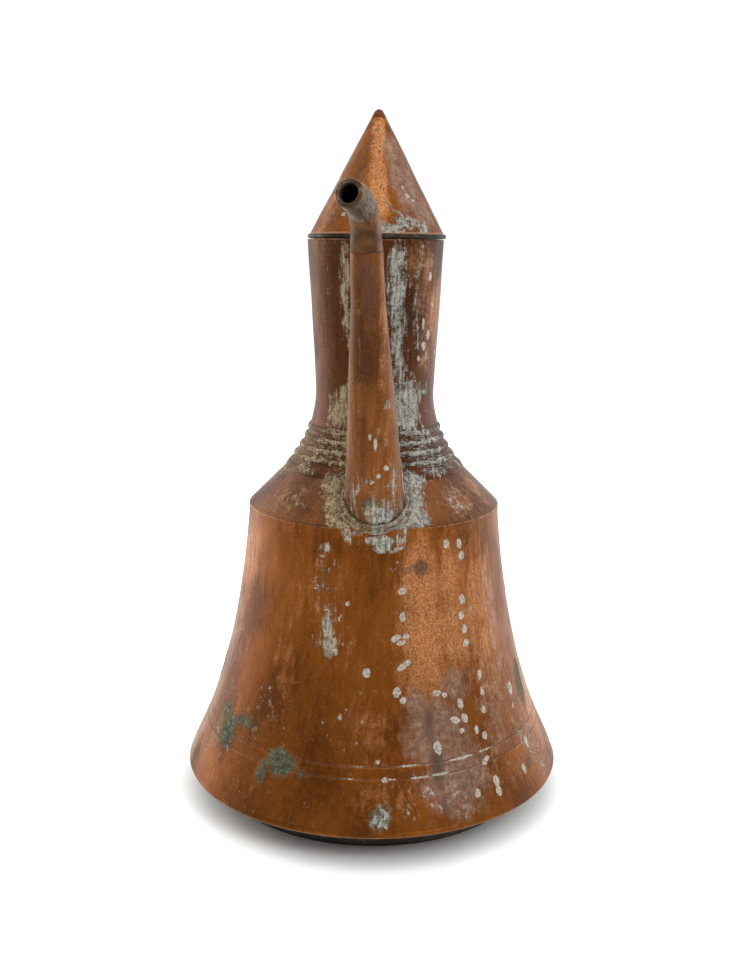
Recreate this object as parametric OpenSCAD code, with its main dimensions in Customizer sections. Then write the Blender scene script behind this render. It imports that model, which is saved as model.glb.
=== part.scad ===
// Covered copper ewer for carrying and pouring water: a bell-shaped body with a cone lid on a
// hinge, a long spout at the front and a strap handle behind. Millimetres, Z up.
// The origin is on the ground under the middle of the body. The spout points along -Y.
// Heights in the names below count from the rim, the widest edge, unless they say otherwise.

/* [Body] */
// Radius of the rolled rim, the widest part
rim_r = 130; // [124:1:134]
// Height of the rim above the ground
foot_h = 18; // [14:1:19]
// Radius of the flat bottom that the ewer stands on
foot_r = 108; // [104:1:112]
// Height of the bell-shaped skirt
skirt_h = 184; // [182:1:188]
// Radius of the crease between skirt and shoulder
shoulder_r = 85.4; // [84:0.2:86]
// Thickness of the beaten sheet
sheet_t = 1.5; // [1.2:0.1:1.6]

/* [Neck] */
// Radius of the neck where its foot lies on the shoulder
neck_foot_r = 58.4; // [58:0.2:59]
// Radius of the neck at its waist
waist_r = 40; // [39:0.5:41]
// Height of the waist
waist_h = 258; // [256:1:260]
// Radius of the mouth, outside
mouth_r = 44.8; // [44.6:0.2:45.2]
// Height of the mouth
mouth_h = 359; // [358:0.5:359]
// Radius of the beads chased round the neck's foot
bead_r = 2.2; // [1.8:0.1:2.4]

/* [Spout] */
// Middle of the spout at its foot
spout_foot = [1, -65, 190];
// Middle of the spout where the nozzle starts
spout_top = [-5, -96, 352];
// Radius of the spout at its foot
spout_foot_r = 19.5; // [18:0.5:20]
// Radius of the spout under the nozzle
spout_top_r = 9.6; // [9.4:0.1:10]
// Radius of the nozzle's bend, along its middle
nozzle_bend_r = 24; // [20:1:26]
// How far the nozzle points to the left, in degrees
nozzle_swing = 23; // [15:1:30]
// How far the nozzle points up, in degrees
nozzle_rise = 15; // [10:1:20]

/* [Lid] */
// Radius of the lid's rolled edge
lid_r = 45.6; // [45.2:0.1:46]
// Height of the middle of the lid's rolled edge
lid_h = 361; // [361:0.5:362]
// Height above that edge of the point where the cone's sides would meet
lid_rise = 83.6; // [80:0.2:88]
// Depth of the collar that drops into the neck
collar_depth = 12; // [10:1:13]
// Opening angle shown, 0 when shut
lid_open = 0; // [0:5:105]

/* [Handle] */
// Width of the strap
strap_w = 22; // [20:1:24]
// Thickness of the strap
strap_t = 8; // [7:0.5:9]
// Height at which the handle leaves the neck
handle_h = 331; // [329:1:332]

/* [Hidden] */
$fn = 96;

copper = "#8a4f2c";
dark_copper = "#5b3520";
grey_tin = "#8d877c";
pale_solder = "#b3ab98";

hem_r = 2;                        // rolled edge of the skirt
crease_land = 6;                  // straight band of the skirt under the crease
lap = 8;                          // depth of the laps that join two sheets
curve_steps = 20;
scribe_h = [40, 33];              // the two lines scribed round the skirt
scribe_r = 0.6;
foot_corner = 3;

shoulder_top_r = neck_foot_r - 7; // inner edge of the shoulder, under the neck's foot
bead_places = [0.28, 0.45, 0.58, 0.69]; // along the curve of the neck's foot

spout_t = 1.3;
spout_shoulder = 134;             // along the spout, where its taper slows
spout_socket = 10;                // length of the straight socket for the nozzle
flange_w = 3;
flange_t = 2.2;
solder_t = 1.1;
solder_w = 2.4;
neck_solder_w = 3;
neck_solder_crown = 1.8;         // how far the bead stands out level with its top
passage_r = 9.5;                  // hole from the body into the spout
passage_drop = 7;                 // how far it lies below the spout's middle
saddle_low = 24;                  // how far the collar round the spout reaches below the spout's foot
nozzle_lead = 10;
nozzle_end = 7.5;
nozzle_r = 8.8;
nozzle_tip_r = 7.8;
nozzle_mouth_r = 5.6;
lip_ring_r = 7;
lip_wire_r = 1.5;

strap_start_y = 41;
grip_y = 110;                     // how far back the strap's middle reaches
grip_len = 94;                    // straight part that the hand holds
grip_lean = 5;                    // its lean towards the body, in degrees
top_bend_r = 36;
low_bend_r = 44;
landing_turn = 45;                // the turn that brings the strap onto the lower plate
landing_len = 8;
arc_steps = 16;
plate_t = 2;
upper_plate_r = 15;
lower_plate_h = 165;
lower_plate_r = 17;
rivet_r = 1.9;
rivet_head_r = 3.2;
rivet_tail = 1.4;
rivet_dome_sink = 1.6;            // from the flat under a rivet's head down to its ball's middle

lid_edge_r = 1.5;
lid_t = 1.4;                      // across the cone's wall, measured level
collar_t = 1.2;
mouth_clear = 0.4;                // allowance at the mouth, before the collar's gap
collar_gap = 1.9;                 // between the collar and the neck, so that the lid can swing
lid_inset = 0.9;                  // from the rolled edge's outside to the cone
tip_r = 3.4;
tip_hole_r = 1.2;

pin_r = 2.5;
pin_gap = 0.05;
pin_y = 52.5;
pin_h = lid_h + 3;
knuckle_r = 5;
knuckle_w = 11.4;
ear_gap = 0.3;
ear_t = 3;
pin_head_r = 3.8;
pin_head_t = 1.4;
lid_strap_t = 1.8;
lid_strap_top = 33;               // top of the strap above the lid's edge
lid_strap_low = 5;                // its lower end on the lid
lid_rivet_heights = [16, 27];
lid_rivet_r = 1.5;
lid_rivet_head_r = 2.6;

function bezier(p, t) =
    pow(1 - t, 3) * p[0] + 3 * t * pow(1 - t, 2) * p[1] + 3 * t * t * (1 - t) * p[2] + pow(t, 3) * p[3];
function curve(p) = [for (i = [0:curve_steps]) bezier(p, i / curve_steps)];
function shifted(points, by) = [for (q = points) q + by];
function backwards(points) = [for (i = [len(points) - 1:-1:0]) points[i]];

// Outlines of the body's outer surface, as [radius, height]
skirt_curve = curve([
    [rim_r - 0.4, hem_r], [rim_r - 4.5, hem_r + 20],
    [shoulder_r + 10.6, 52], [shoulder_r, skirt_h - crease_land]]);
skirt_line = concat(skirt_curve, [[shoulder_r, skirt_h]]);
function above(line, h) = [for (i = [1:len(line) - 1]) if (line[i - 1][1] <= h && line[i][1] > h) i][0];
function radius_at(line, h) =
    let (i = above(line, h), a = line[i - 1], b = line[i]) a[0] + (b[0] - a[0]) * (h - a[1]) / (b[1] - a[1]);
function shoulder_z(r) = skirt_h + shoulder_r - r;
neck_foot = [
    [neck_foot_r - 0.8, shoulder_z(neck_foot_r) + 2.4], [neck_foot_r - 2.4, shoulder_z(neck_foot_r) + 2.5],
    [waist_r + 1, waist_h - 26], [waist_r, waist_h]];
neck_tube = curve([[waist_r, waist_h], [waist_r, waist_h + 17],
    [mouth_r - 2.3, mouth_h - 44], [mouth_r, mouth_h]]);
neck_line = concat(curve(neck_foot), neck_tube);

spout_run = spout_top - spout_foot;
spout_len = norm(spout_run);
nozzle_dir = [-sin(nozzle_swing) * cos(nozzle_rise), -cos(nozzle_swing) * cos(nozzle_rise), sin(nozzle_rise)];
bend_angle = acos(spout_run * nozzle_dir / spout_len);
lid_slope = (lid_r - lid_inset) / lid_rise;
lid_angle = atan(lid_slope);      // from the lid's axis to its side
tip_h = lid_rise - tip_r / sin(lid_angle);
tip_seat = tip_h + tip_r * sin(lid_angle);
function lid_cone_r(h) = (lid_rise - h) * lid_slope;
function lid_cone_h(r) = lid_rise - r / lid_slope;

module lifted() {
    translate([0, 0, foot_h]) children();
}

module turned(points) {
    rotate_extrude() polygon(points);
}

module ring(ring_r, wire_r, h) {
    translate([0, 0, h]) rotate_extrude() translate([ring_r, 0]) circle(r = wire_r, $fn = 32);
}

// Everything inside the body's outer surface, grown level by the given amount
module body_solid(grow) {
    turned(concat([[0, 0]], shifted(concat([[rim_r, 0]], skirt_line, [[neck_foot_r, shoulder_z(neck_foot_r)]],
        neck_line), [grow, 0]), [[0, mouth_h]]));
}

module cylinder_y(r, from, to, x, h) {
    translate([x, from, h]) rotate([-90, 0, 0]) cylinder(r = r, h = to - from);
}

// Turns local Z to the given direction
module facing(direction) {
    rotate([0, acos(direction[2] / norm(direction)), atan2(direction[1], direction[0])]) children();
}

module along_spout() {
    translate(spout_foot) facing(spout_run) children();
}

module spout_solid(grow) {
    below = 16;
    slope = (spout_foot_r - spout_top_r) / spout_len;
    along_spout() turned([[0, -below], [spout_foot_r + grow + slope * below, -below],
        [spout_foot_r + grow, 0], [spout_top_r + 0.7 + grow, spout_shoulder],
        [spout_top_r + grow, spout_len], [0, spout_len]]);
}

// --- body ---

module base_pan() {
    inside = [for (q = skirt_curve) if (q[1] < hem_r + 8) q - [sheet_t, 0]];
    top = inside[len(inside) - 1];
    color(dark_copper) turned(concat(
        [[0, 0], [foot_r - foot_corner, 0], [foot_r, foot_corner - 1]],
        shifted(inside, [0, foot_h]),
        [top + [-sheet_t, foot_h], inside[0] + [-sheet_t - 1, foot_h - 0.5],
        [foot_r - sheet_t, foot_corner + 0.4], [foot_r - foot_corner - 0.5, sheet_t], [0, sheet_t]]));
}

module skirt() {
    color(copper) lifted() difference() {
        union() {
            turned(concat(skirt_line, backwards(shifted(skirt_line, [-sheet_t, 0]))));
            intersection() {
                ring(rim_r - hem_r, hem_r, hem_r);
                turned([[rim_r - hem_r, 0], [rim_r, 0], [rim_r, 2 * hem_r], [rim_r - sheet_t - 0.4, hem_r]]);
            }
        }
        for (h = scribe_h) ring(radius_at(skirt_curve, h) + scribe_r / 3, scribe_r, h);
        rivet_holes();
    }
}

module shoulder() {
    flange_r = shoulder_r - sheet_t;
    wall = sheet_t * sqrt(2);
    color(copper) lifted() difference() {
        turned([[shoulder_r, skirt_h], [shoulder_top_r, shoulder_z(shoulder_top_r)],
            [shoulder_top_r, shoulder_z(shoulder_top_r) - wall],
            [flange_r - sheet_t, shoulder_z(flange_r - sheet_t) - wall],
            [flange_r - sheet_t, skirt_h - lap + 3], [flange_r, skirt_h - lap + 3], [flange_r, skirt_h]]);
        along_spout() translate([-passage_drop, 0, -30]) cylinder(r = passage_r, h = 60);
    }
}

module neck() {
    inner_foot = curve([
        [shoulder_top_r, shoulder_z(shoulder_top_r)], [shoulder_top_r - 4, shoulder_z(shoulder_top_r) + 3.5],
        [waist_r - sheet_t + 1.3, waist_h - 22], [waist_r - sheet_t, waist_h]]);
    color(copper) lifted() difference() {
        union() {
            turned(concat([[neck_foot_r, shoulder_z(neck_foot_r)]], neck_line,
                backwards(shifted(neck_tube, [-sheet_t, 0])), backwards(inner_foot)));
            difference() {
                for (t = bead_places) bead(bezier(neck_foot, t));
                spout_solid(0);
                under_shoulder();
            }
        }
        rivet_holes();
    }
}

// Everything under the shoulder's outer surface, out to its inner edge's height
module under_shoulder() {
    top = shoulder_z(shoulder_top_r);
    turned([[0, skirt_h], [shoulder_r, skirt_h], [shoulder_top_r, top], [0, top]]);
}

module bead(at) {
    ring(at[0] - bead_r * 0.4, bead_r, at[1] - bead_r * 0.1);
}

module neck_solder() {
    r = neck_foot_r;
    z = shoulder_z(r);
    color(pale_solder) lifted() difference() {
        turned([[r, z], [r + neck_solder_w, z - neck_solder_w], [r + neck_solder_crown, z], neck_foot[0]]);
        spout_solid(flange_w + solder_w);
    }
}

// --- spout ---

// A collar on the shoulder round the spout, of the given height and width
module saddle(t, w) {
    difference() {
        intersection() {
            body_solid(t);
            along_spout() translate([0, 0, -saddle_low]) cylinder(r = spout_foot_r + w, h = 60);
            cylinder_y(spout_foot_r + w + 0.5, -120, -40, spout_foot[0],
                skirt_h - 3 + 0.4 * w + spout_foot_r);
        }
        body_solid(0);
        translate([0, 0, skirt_h]) cylinder(r = neck_foot_r + neck_solder_w, h = 60);
    }
}

module spout_flange() {
    color(grey_tin) lifted() difference() {
        saddle(flange_t, flange_w);
        spout_solid(0);
    }
}

module spout_solder() {
    color(pale_solder) lifted() difference() {
        saddle(solder_t, flange_w + solder_w);
        saddle(flange_t, flange_w);
        spout_solid(0);
    }
}

module spout_tube() {
    socket_r = spout_top_r - spout_t;
    color(copper) lifted() difference() {
        spout_solid(0);
        along_spout() turned([[0, -20], [spout_foot_r - spout_t + 1, -20], [spout_foot_r - spout_t, 0],
            [spout_top_r + 0.7 - spout_t, spout_shoulder], [socket_r, spout_len - spout_socket],
            [socket_r, spout_len + 1], [0, spout_len + 1]]);
        body_solid(0);
    }
}

// The frame at the top of the spout, turned so that local X is the way the nozzle bends
module at_nozzle() {
    azimuth = atan2(spout_run[1], spout_run[0]);
    polar = acos(spout_run[2] / spout_len);
    across = [cos(azimuth) * cos(polar), sin(azimuth) * cos(polar), -sin(polar)];
    sideways = [-sin(azimuth), cos(azimuth), 0];
    translate(spout_top) facing(spout_run)
        rotate([0, 0, atan2(nozzle_dir * sideways, nozzle_dir * across)]) children();
}

// The frame at the end of the nozzle's bend
module after_bend() {
    translate([nozzle_bend_r, 0, nozzle_lead]) rotate([0, bend_angle, 0])
        translate([-nozzle_bend_r, 0, 0]) children();
}

module bent_pipe(outer, inner) {
    translate([nozzle_bend_r, 0, nozzle_lead]) mirror([1, 0, 0]) rotate([90, 0, 0])
        rotate_extrude(angle = bend_angle) translate([nozzle_bend_r, 0]) difference() {
            circle(r = outer, $fn = 48);
            circle(r = inner, $fn = 48);
        }
}

module spout_nozzle() {
    spigot_r = spout_top_r - spout_t;
    bore_r = nozzle_r - spout_t;
    color(grey_tin) lifted() at_nozzle() {
        turned([[spigot_r - 1, -lap], [spigot_r, -lap], [spigot_r, 0], [spout_top_r, 0],
            [nozzle_r, nozzle_lead], [bore_r, nozzle_lead]]);
        bent_pipe(nozzle_r, bore_r);
    }
}

// The ferrule at the end of the nozzle, with its rolled lip
module spout_lip() {
    color(grey_tin) lifted() at_nozzle() after_bend() {
        turned([[nozzle_r - spout_t, 0], [nozzle_r, 0],
            [nozzle_tip_r, nozzle_end], [nozzle_mouth_r, nozzle_end]]);
        ring(lip_ring_r, lip_wire_r, nozzle_end);
    }
}

// --- handle ---

module body_shell(t) {
    difference() {
        body_solid(t);
        body_solid(0);
    }
}

module handle_plate(r, h) {
    color(copper) lifted() difference() {
        intersection() {
            body_shell(plate_t);
            cylinder_y(r, 20, 120, 0, h);
        }
        rivet_holes();
    }
}

module handle_upper_plate() {
    handle_plate(upper_plate_r, handle_h);
}

module handle_lower_plate() {
    handle_plate(lower_plate_r, lower_plate_h);
}

// One face of the strap, side millimetres outward of its middle, as [y, height]
function strap_face(side) =
    let (down = -grip_lean, low = down - landing_turn,
        upper = [grip_y - top_bend_r, handle_h - top_bend_r],
        lower = upper + (top_bend_r - low_bend_r) * radial(down) + grip_len * along_arc(down))
    concat([[strap_start_y, handle_h + side]], arc(upper, top_bend_r + side, 90, down),
        arc(lower, low_bend_r + side, down, low),
        [lower + (low_bend_r + side) * radial(low) + landing_len * along_arc(low)]);
function radial(a) = [cos(a), sin(a)];
function along_arc(a) = [sin(a), -cos(a)];
function arc(middle, r, from, to) =
    [for (i = [0:arc_steps]) middle + r * radial(from + (to - from) * i / arc_steps)];

module handle() {
    color(copper) lifted() difference() {
        upright(concat(strap_face(strap_t / 2), backwards(strap_face(-strap_t / 2))),
            -strap_w / 2, strap_w / 2);
        body_solid(plate_t);
    }
}

// The body's rivets, as [degrees to the side of the back, height]
body_rivet_places = [
    [0, handle_h + 10.5], [0, handle_h - 10.5],
    [9, lower_plate_h - 4], [-9, lower_plate_h - 4], [0, lower_plate_h - 12.5],
    [0, mouth_h - 6.5],
];

// Local Z points out of the body at its back, from a point on its surface
module on_body(side, h) {
    line = h < skirt_h ? skirt_line : neck_line;
    i = above(line, h);
    slope = atan((line[i - 1][0] - line[i][0]) / (line[i][1] - line[i - 1][1]));
    rotate([0, 0, side]) translate([0, radius_at(line, h), h]) rotate([slope - 90, 0, 0]) children();
}

module rivet_holes() {
    for (p = body_rivet_places) on_body(p[0], p[1]) translate([0, 0, -6]) cylinder(r = rivet_r, h = 12);
}

module body_rivets() {
    dome_r = rivet_head_r + 0.4;
    tail_top = -sheet_t - 0.2;
    color(dark_copper) lifted() for (p = body_rivet_places) on_body(p[0], p[1]) {
        translate([0, 0, tail_top - rivet_tail]) cylinder(r = rivet_r, h = plate_t + 1 - tail_top + rivet_tail);
        translate([0, 0, tail_top - rivet_tail]) cylinder(r = rivet_head_r, h = rivet_tail);
        translate([0, 0, plate_t + 0.05]) difference() {
            translate([0, 0, -rivet_dome_sink]) sphere(r = dome_r, $fn = 48);
            translate([0, 0, -2 * dome_r]) cylinder(r = 2 * dome_r, h = 2 * dome_r);
        }
    }
}

// --- hinge ---

module along_pin(r, from, to) {
    translate([from, pin_y, pin_h]) rotate([0, 90, 0]) cylinder(r = r, h = to - from);
}

// A plate that stands across the hinge's pin, from an outline as [y, height]
module upright(points, from, to) {
    translate([from, 0, 0]) rotate([90, 0, 90]) linear_extrude(to - from) polygon(points);
}

module hinge_bracket() {
    inner = knuckle_w / 2 + ear_gap;
    outer = inner + ear_t;
    ear = [
        [mouth_r - 4, mouth_h - 11], [mouth_r + 2.5, mouth_h - 11], [pin_y + 4.6, pin_h - 2.4],
        [pin_y - 3.6, pin_h + 3.6], [pin_y - 5.1, pin_h - 1],
        [mouth_r - 0.8, mouth_h - 2], [mouth_r - 4, mouth_h - 2]];
    color(dark_copper) lifted() difference() {
        union() {
            intersection() {
                body_shell(plate_t);
                translate([-outer, 0, mouth_h - 12.5]) cube([2 * outer, 100, 10.5]);
            }
            for (x = [-outer, inner]) {
                upright(ear, x, x + ear_t);
                along_pin(knuckle_r + 0.2, x, x + ear_t);
            }
        }
        body_solid(0);
        along_pin(pin_r, -outer - 1, outer + 1);
        rivet_holes();
    }
}

module hinge_pin() {
    reach = knuckle_w / 2 + ear_gap + ear_t;
    color(grey_tin) lifted() {
        along_pin(pin_r, -reach - 0.5, reach + 0.5);
        along_pin(pin_head_r, reach, reach + pin_head_t);
        along_pin(pin_head_r, -reach - pin_head_t, -reach);
    }
}

// --- lid ---

// The lid's parts, swung open by lid_open
module swung() {
    lifted() translate([0, pin_y, pin_h]) rotate([-lid_open, 0, 0]) translate([0, -pin_y, -pin_h]) children();
}

module lid_solid(grow) {
    translate([0, 0, lid_h]) turned([[0, 0], [lid_cone_r(0) + grow, 0], [grow, lid_rise], [0, lid_rise]]);
}

module lid_cone() {
    color(copper) swung() difference() {
        translate([0, 0, lid_h]) turned([[lid_cone_r(0), 0], [lid_cone_r(tip_seat), tip_seat],
            [tip_hole_r, tip_seat], [tip_hole_r, lid_cone_h(tip_hole_r + lid_t)], [lid_cone_r(0) - lid_t, 0]]);
        ring(lid_r - lid_edge_r, lid_edge_r, lid_h);
        lid_rivet_holes();
    }
}

module lid_rim() {
    color(copper) swung() ring(lid_r - lid_edge_r, lid_edge_r, lid_h);
}

module lid_collar() {
    r = mouth_r - mouth_clear - sheet_t - collar_gap;
    color(copper) swung() translate([0, 0, lid_h]) turned([[r, -collar_depth], [r, lid_cone_h(r + lid_t)],
        [r - collar_t, lid_cone_h(r - collar_t + lid_t)], [r - collar_t, -collar_depth]]);
}

module lid_tip() {
    shank = 8;
    color(grey_tin) swung() translate([0, 0, lid_h]) {
        translate([0, 0, tip_seat - shank]) cylinder(r = tip_hole_r, h = shank + 1);
        difference() {
            translate([0, 0, tip_h]) sphere(r = tip_r, $fn = 48);
            translate([0, 0, tip_seat - 2 * tip_r]) cylinder(r = 2 * tip_r, h = 2 * tip_r);
        }
    }
}

module lid_strap() {
    half = knuckle_w / 2;
    link = [
        [pin_y, pin_h + knuckle_r], [lid_r - 12, lid_h + 16],
        [lid_r - 12, lid_h + lid_strap_low], [pin_y - 3, pin_h - 1]];
    color(copper) swung() difference() {
        union() {
            intersection() {
                lid_solid(lid_strap_t);
                translate([-half, 10, lid_h + lid_strap_low]) cube([2 * half, 60, lid_strap_top - lid_strap_low]);
            }
            upright(link, -half, half);
            along_pin(knuckle_r, -half, half);
        }
        lid_solid(0);
        along_pin(pin_r + pin_gap, -half - 1, half + 1);
        lid_rivet_holes();
    }
}

// Local Z points out of the lid at its back, at the given height above the edge
module on_lid(h) {
    translate([0, lid_cone_r(h), lid_h + h]) rotate([lid_angle - 90, 0, 0]) children();
}

module lid_rivet_holes() {
    for (h = lid_rivet_heights) on_lid(h) translate([0, 0, -5]) cylinder(r = lid_rivet_r, h = 12);
}

module lid_rivets() {
    color(dark_copper) swung() for (h = lid_rivet_heights) {
        on_lid(h) translate([0, 0, -2.4]) cylinder(r = lid_rivet_r, h = 4);
        difference() {
            on_lid(h) intersection() {
                sphere(r = lid_rivet_head_r + 0.4, $fn = 48);
                cylinder(r = lid_rivet_head_r, h = 9);
            }
            lid_solid(lid_strap_t);
        }
        on_lid(h) translate([0, 0, -2.6]) cylinder(r = lid_rivet_head_r, h = 1.2);
    }
}

base_pan();
skirt();
shoulder();
neck();
neck_solder();
spout_flange();
spout_solder();
spout_tube();
spout_nozzle();
spout_lip();
handle_upper_plate();
handle_lower_plate();
handle();
body_rivets();
hinge_bracket();
hinge_pin();
lid_cone();
lid_rim();
lid_collar();
lid_tip();
lid_strap();
lid_rivets();
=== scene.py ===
"""The looks of a covered copper ewer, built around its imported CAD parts.

Lengths in the outlines below are millimetres and heights count from the skirt's rim, as in the CAD
source. Meshes are made in metres, in the row frame. Angles round the body are degrees from the front,
growing towards +X.
"""

import math

import bpy
import numpy as np
from mathutils import Matrix, Vector


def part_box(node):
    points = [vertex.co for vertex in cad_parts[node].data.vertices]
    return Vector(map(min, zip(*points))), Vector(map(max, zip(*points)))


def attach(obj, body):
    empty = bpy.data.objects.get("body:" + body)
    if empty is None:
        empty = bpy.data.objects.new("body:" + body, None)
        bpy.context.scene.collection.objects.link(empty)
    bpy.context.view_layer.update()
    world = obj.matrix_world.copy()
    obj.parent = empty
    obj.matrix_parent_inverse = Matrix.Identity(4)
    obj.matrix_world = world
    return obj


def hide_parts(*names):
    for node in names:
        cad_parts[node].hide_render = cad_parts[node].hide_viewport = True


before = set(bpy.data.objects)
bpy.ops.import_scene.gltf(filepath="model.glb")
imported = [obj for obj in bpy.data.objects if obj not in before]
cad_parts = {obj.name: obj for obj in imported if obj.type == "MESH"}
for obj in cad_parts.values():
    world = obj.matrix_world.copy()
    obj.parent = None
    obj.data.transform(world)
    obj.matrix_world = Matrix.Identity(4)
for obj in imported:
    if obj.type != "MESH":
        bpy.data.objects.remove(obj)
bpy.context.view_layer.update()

MM = 0.001


def lowest(node):
    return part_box(node)[0] / MM


def highest(node):
    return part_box(node)[1] / MM


# Sizes that the CAD boxes give
RIM_R = highest("skirt").x
FOOT_H = lowest("skirt").z
CREASE_H = highest("skirt").z - FOOT_H
MOUTH_H = highest("neck").z - FOOT_H
LID_R = highest("lid_rim").x
LID_H = (highest("lid_rim").z + lowest("lid_rim").z) / 2 - FOOT_H
STRAP_W = highest("handle").x - lowest("handle").x

# Sizes of the shapes between them, as in the CAD source
FOOT_R = 108.0
HEM_R = 2.0
CREASE_R = 85.4
SHEET = 1.5
NECK_FOOT_R = 58.4
WAIST_R = 40.0
WAIST_H = 258.0
MOUTH_R = 44.8
BEAD_R = 2.2
BEAD_PLACES = (0.28, 0.45, 0.58, 0.69)
SCRIBE_H = (40.0, 33.0)
SPOUT_FOOT = np.array([1.0, -65.0, 190.0])
SPOUT_TOP = np.array([-5.0, -96.0, 352.0])
SPOUT_FOOT_R = 19.5
SPOUT_TOP_R = 9.6
SPOUT_SHOULDER = 134.0
SPOUT_BURIED = 16.0
SPOUT_T = 1.3
NOZZLE_SWING = 23.0
NOZZLE_RISE = 15.0
NOZZLE_BEND_R = 24.0
NOZZLE_LEAD = 10.0
NOZZLE_R = 8.8
NOZZLE_TIP_R = 7.8
NOZZLE_MOUTH_R = 5.6
NOZZLE_END = 7.5
LIP_RING_R = 7.0
LIP_WIRE_R = 1.5
LID_RISE = 83.6
LID_INSET = 0.9
LID_EDGE_R = 1.5
LID_T = 1.4
TIP_R = 3.4
COLLAR_DEPTH = 12.0
COLLAR_R = MOUTH_R - 0.4 - SHEET - 1.9
COLLAR_T = 1.2
HANDLE_H = 331.0
LOWER_PLATE_H = 165.0
UPPER_PLATE_R = 15.0
LOWER_PLATE_R = 17.0
STRAP_T = 8.0
GRIP_Y = 110.0
GRIP_LEN = 94.0
GRIP_LEAN = 5.0
TOP_BEND_R = 36.0
LOW_BEND_R = 44.0
LANDING_TURN = 45.0
LANDING_LEN = 8.0

# How far places on the body's surface are looked for, along the spout and from the strap's ends
SPOUT_SEARCH = 80.0
LANDING_SEARCH = 14.0
STRAP_END_OFF = 1.0

# Heights of what stands on the copper or is beaten into it
DENT_WIDE = 0.55
DENT_SMALL = 0.14
CRUST_THICK = 0.5
GREEN_THICK = 0.35
GROOVE_DEEP = 0.42
BEAD_SHARE = 0.85
BEAD_RISE = 1.4

# Where the photo was taken from, in metres and degrees
CAMERA_PLACE = (0.0018, -0.7475, 0.35165 + FOOT_H * MM)
CAMERA_TILT = 78
CAMERA_ROLL = 0.47
SENSOR_MM = 36
LENS_MM = 41.03


# --- repeatable noise ---

LATTICE = 48
LATTICE_START = 200.0
HALVINGS = 30
TABLES = {}


def noise(points, size, seed):
    """Smooth lumps from -1 to 1 about size millimetres across, at an array of points."""
    if seed not in TABLES:
        TABLES[seed] = np.random.default_rng(seed).random((LATTICE,) * 3) * 2 - 1
    table = TABLES[seed]
    q = np.asarray(points, float) / size + LATTICE_START
    base = np.floor(q).astype(int)
    part = q - base
    part = part * part * (3 - 2 * part)
    total = np.zeros(q.shape[:-1])
    for corner in np.ndindex(2, 2, 2):
        weight = np.ones(q.shape[:-1])
        for axis in range(3):
            share = part[..., axis]
            weight = weight * (share if corner[axis] else 1 - share)
        at = [(base[..., axis] + corner[axis]) % LATTICE for axis in range(3)]
        total += weight * table[at[0], at[1], at[2]]
    return total


def ramp(value, low, high):
    """0 below low, 1 above high, and smooth in between."""
    t = np.clip((value - low) / (high - low), 0, 1)
    return t * t * (3 - 2 * t)


def hump(value, middle, width):
    """1 where value is at middle, falling away over width on both sides."""
    return np.exp(-(((value - middle) / width) ** 2))


def halved(low, high, is_low):
    """The two sides of the place between low and high where is_low stops being true."""
    for _ in range(HALVINGS):
        middle = (low + high) / 2
        still = is_low(middle)
        low = np.where(still, middle, low)
        high = np.where(still, high, middle)
    return low, high


# --- outlines of the body ---


def bezier(p, count):
    t = np.linspace(0, 1, count)[:, None]
    p = np.array(p, float)
    return (1 - t) ** 3 * p[0] + 3 * t * (1 - t) ** 2 * p[1] + 3 * t * t * (1 - t) * p[2] + t**3 * p[3]


def arc(middle, radius, degrees):
    """Points on a circle, at angles in degrees."""
    turn = np.radians(degrees)
    return np.array(middle) + np.array(radius) * np.stack([np.cos(turn), np.sin(turn)], axis=-1)


def shoulder_z(r):
    return CREASE_H + CREASE_R - r


SKIRT_CURVE = bezier(
    [[RIM_R - 0.4, HEM_R], [RIM_R - 4.5, HEM_R + 20], [CREASE_R + 10.6, 52], [CREASE_R, CREASE_H - 6]], 160
)
NECK_FOOT_CURVE = [
    [NECK_FOOT_R - 0.8, shoulder_z(NECK_FOOT_R) + 2.4],
    [NECK_FOOT_R - 2.4, shoulder_z(NECK_FOOT_R) + 2.5],
    [WAIST_R + 1, WAIST_H - 26],
    [WAIST_R, WAIST_H],
]
NECK_TUBE_CURVE = [
    [WAIST_R, WAIST_H],
    [WAIST_R, WAIST_H + 17],
    [MOUTH_R - 2.3, MOUTH_H - 44],
    [MOUTH_R, MOUTH_H],
]
BODY_LINE = np.concatenate(
    [
        SKIRT_CURVE,
        [[CREASE_R, CREASE_H], [NECK_FOOT_R, shoulder_z(NECK_FOOT_R)]],
        bezier(NECK_FOOT_CURVE, 80),
        bezier(NECK_TUBE_CURVE, 60)[1:],
    ]
)


def body_radius(z):
    """Radius of the body's true outer surface at a height above the rim."""
    return np.interp(z, BODY_LINE[:, 1], BODY_LINE[:, 0])


def dent(points):
    """How far out the beaten sheet stands at points near the body's surface, in millimetres."""
    z = points[..., 2]
    quiet = 0.15 + 0.85 * ramp(z, 2, 26) * (1 - ramp(z, 318, 350))
    wide = DENT_WIDE * noise(points * [1, 1, 0.6], 46, 1)
    small = DENT_SMALL * noise(points, 13, 2)
    back = ramp(points[..., 1], 20, 50)
    return (wide + small) * quiet * (1 - 0.75 * back) - 0.12 * quiet


def degrees_of(points):
    return np.degrees(np.arctan2(points[..., 0], -points[..., 1]))


def front_angles(fine, coarse, edge=80.0):
    """Angles round the body, close together in front and wider behind."""
    front = np.arange(-edge, edge, fine)
    behind = np.arange(edge, 360 - edge, coarse)
    return np.radians(np.concatenate([front, behind]))


def lathe(outline, angles):
    """Points of a turned surface: one row for each outline point, one column for each angle."""
    outline = np.array(outline, float)
    r = outline[:, 0][:, None]
    z = np.repeat(outline[:, 1][:, None], len(angles), axis=1)
    return np.stack([r * np.sin(angles), -r * np.cos(angles), z], axis=-1)


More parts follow.
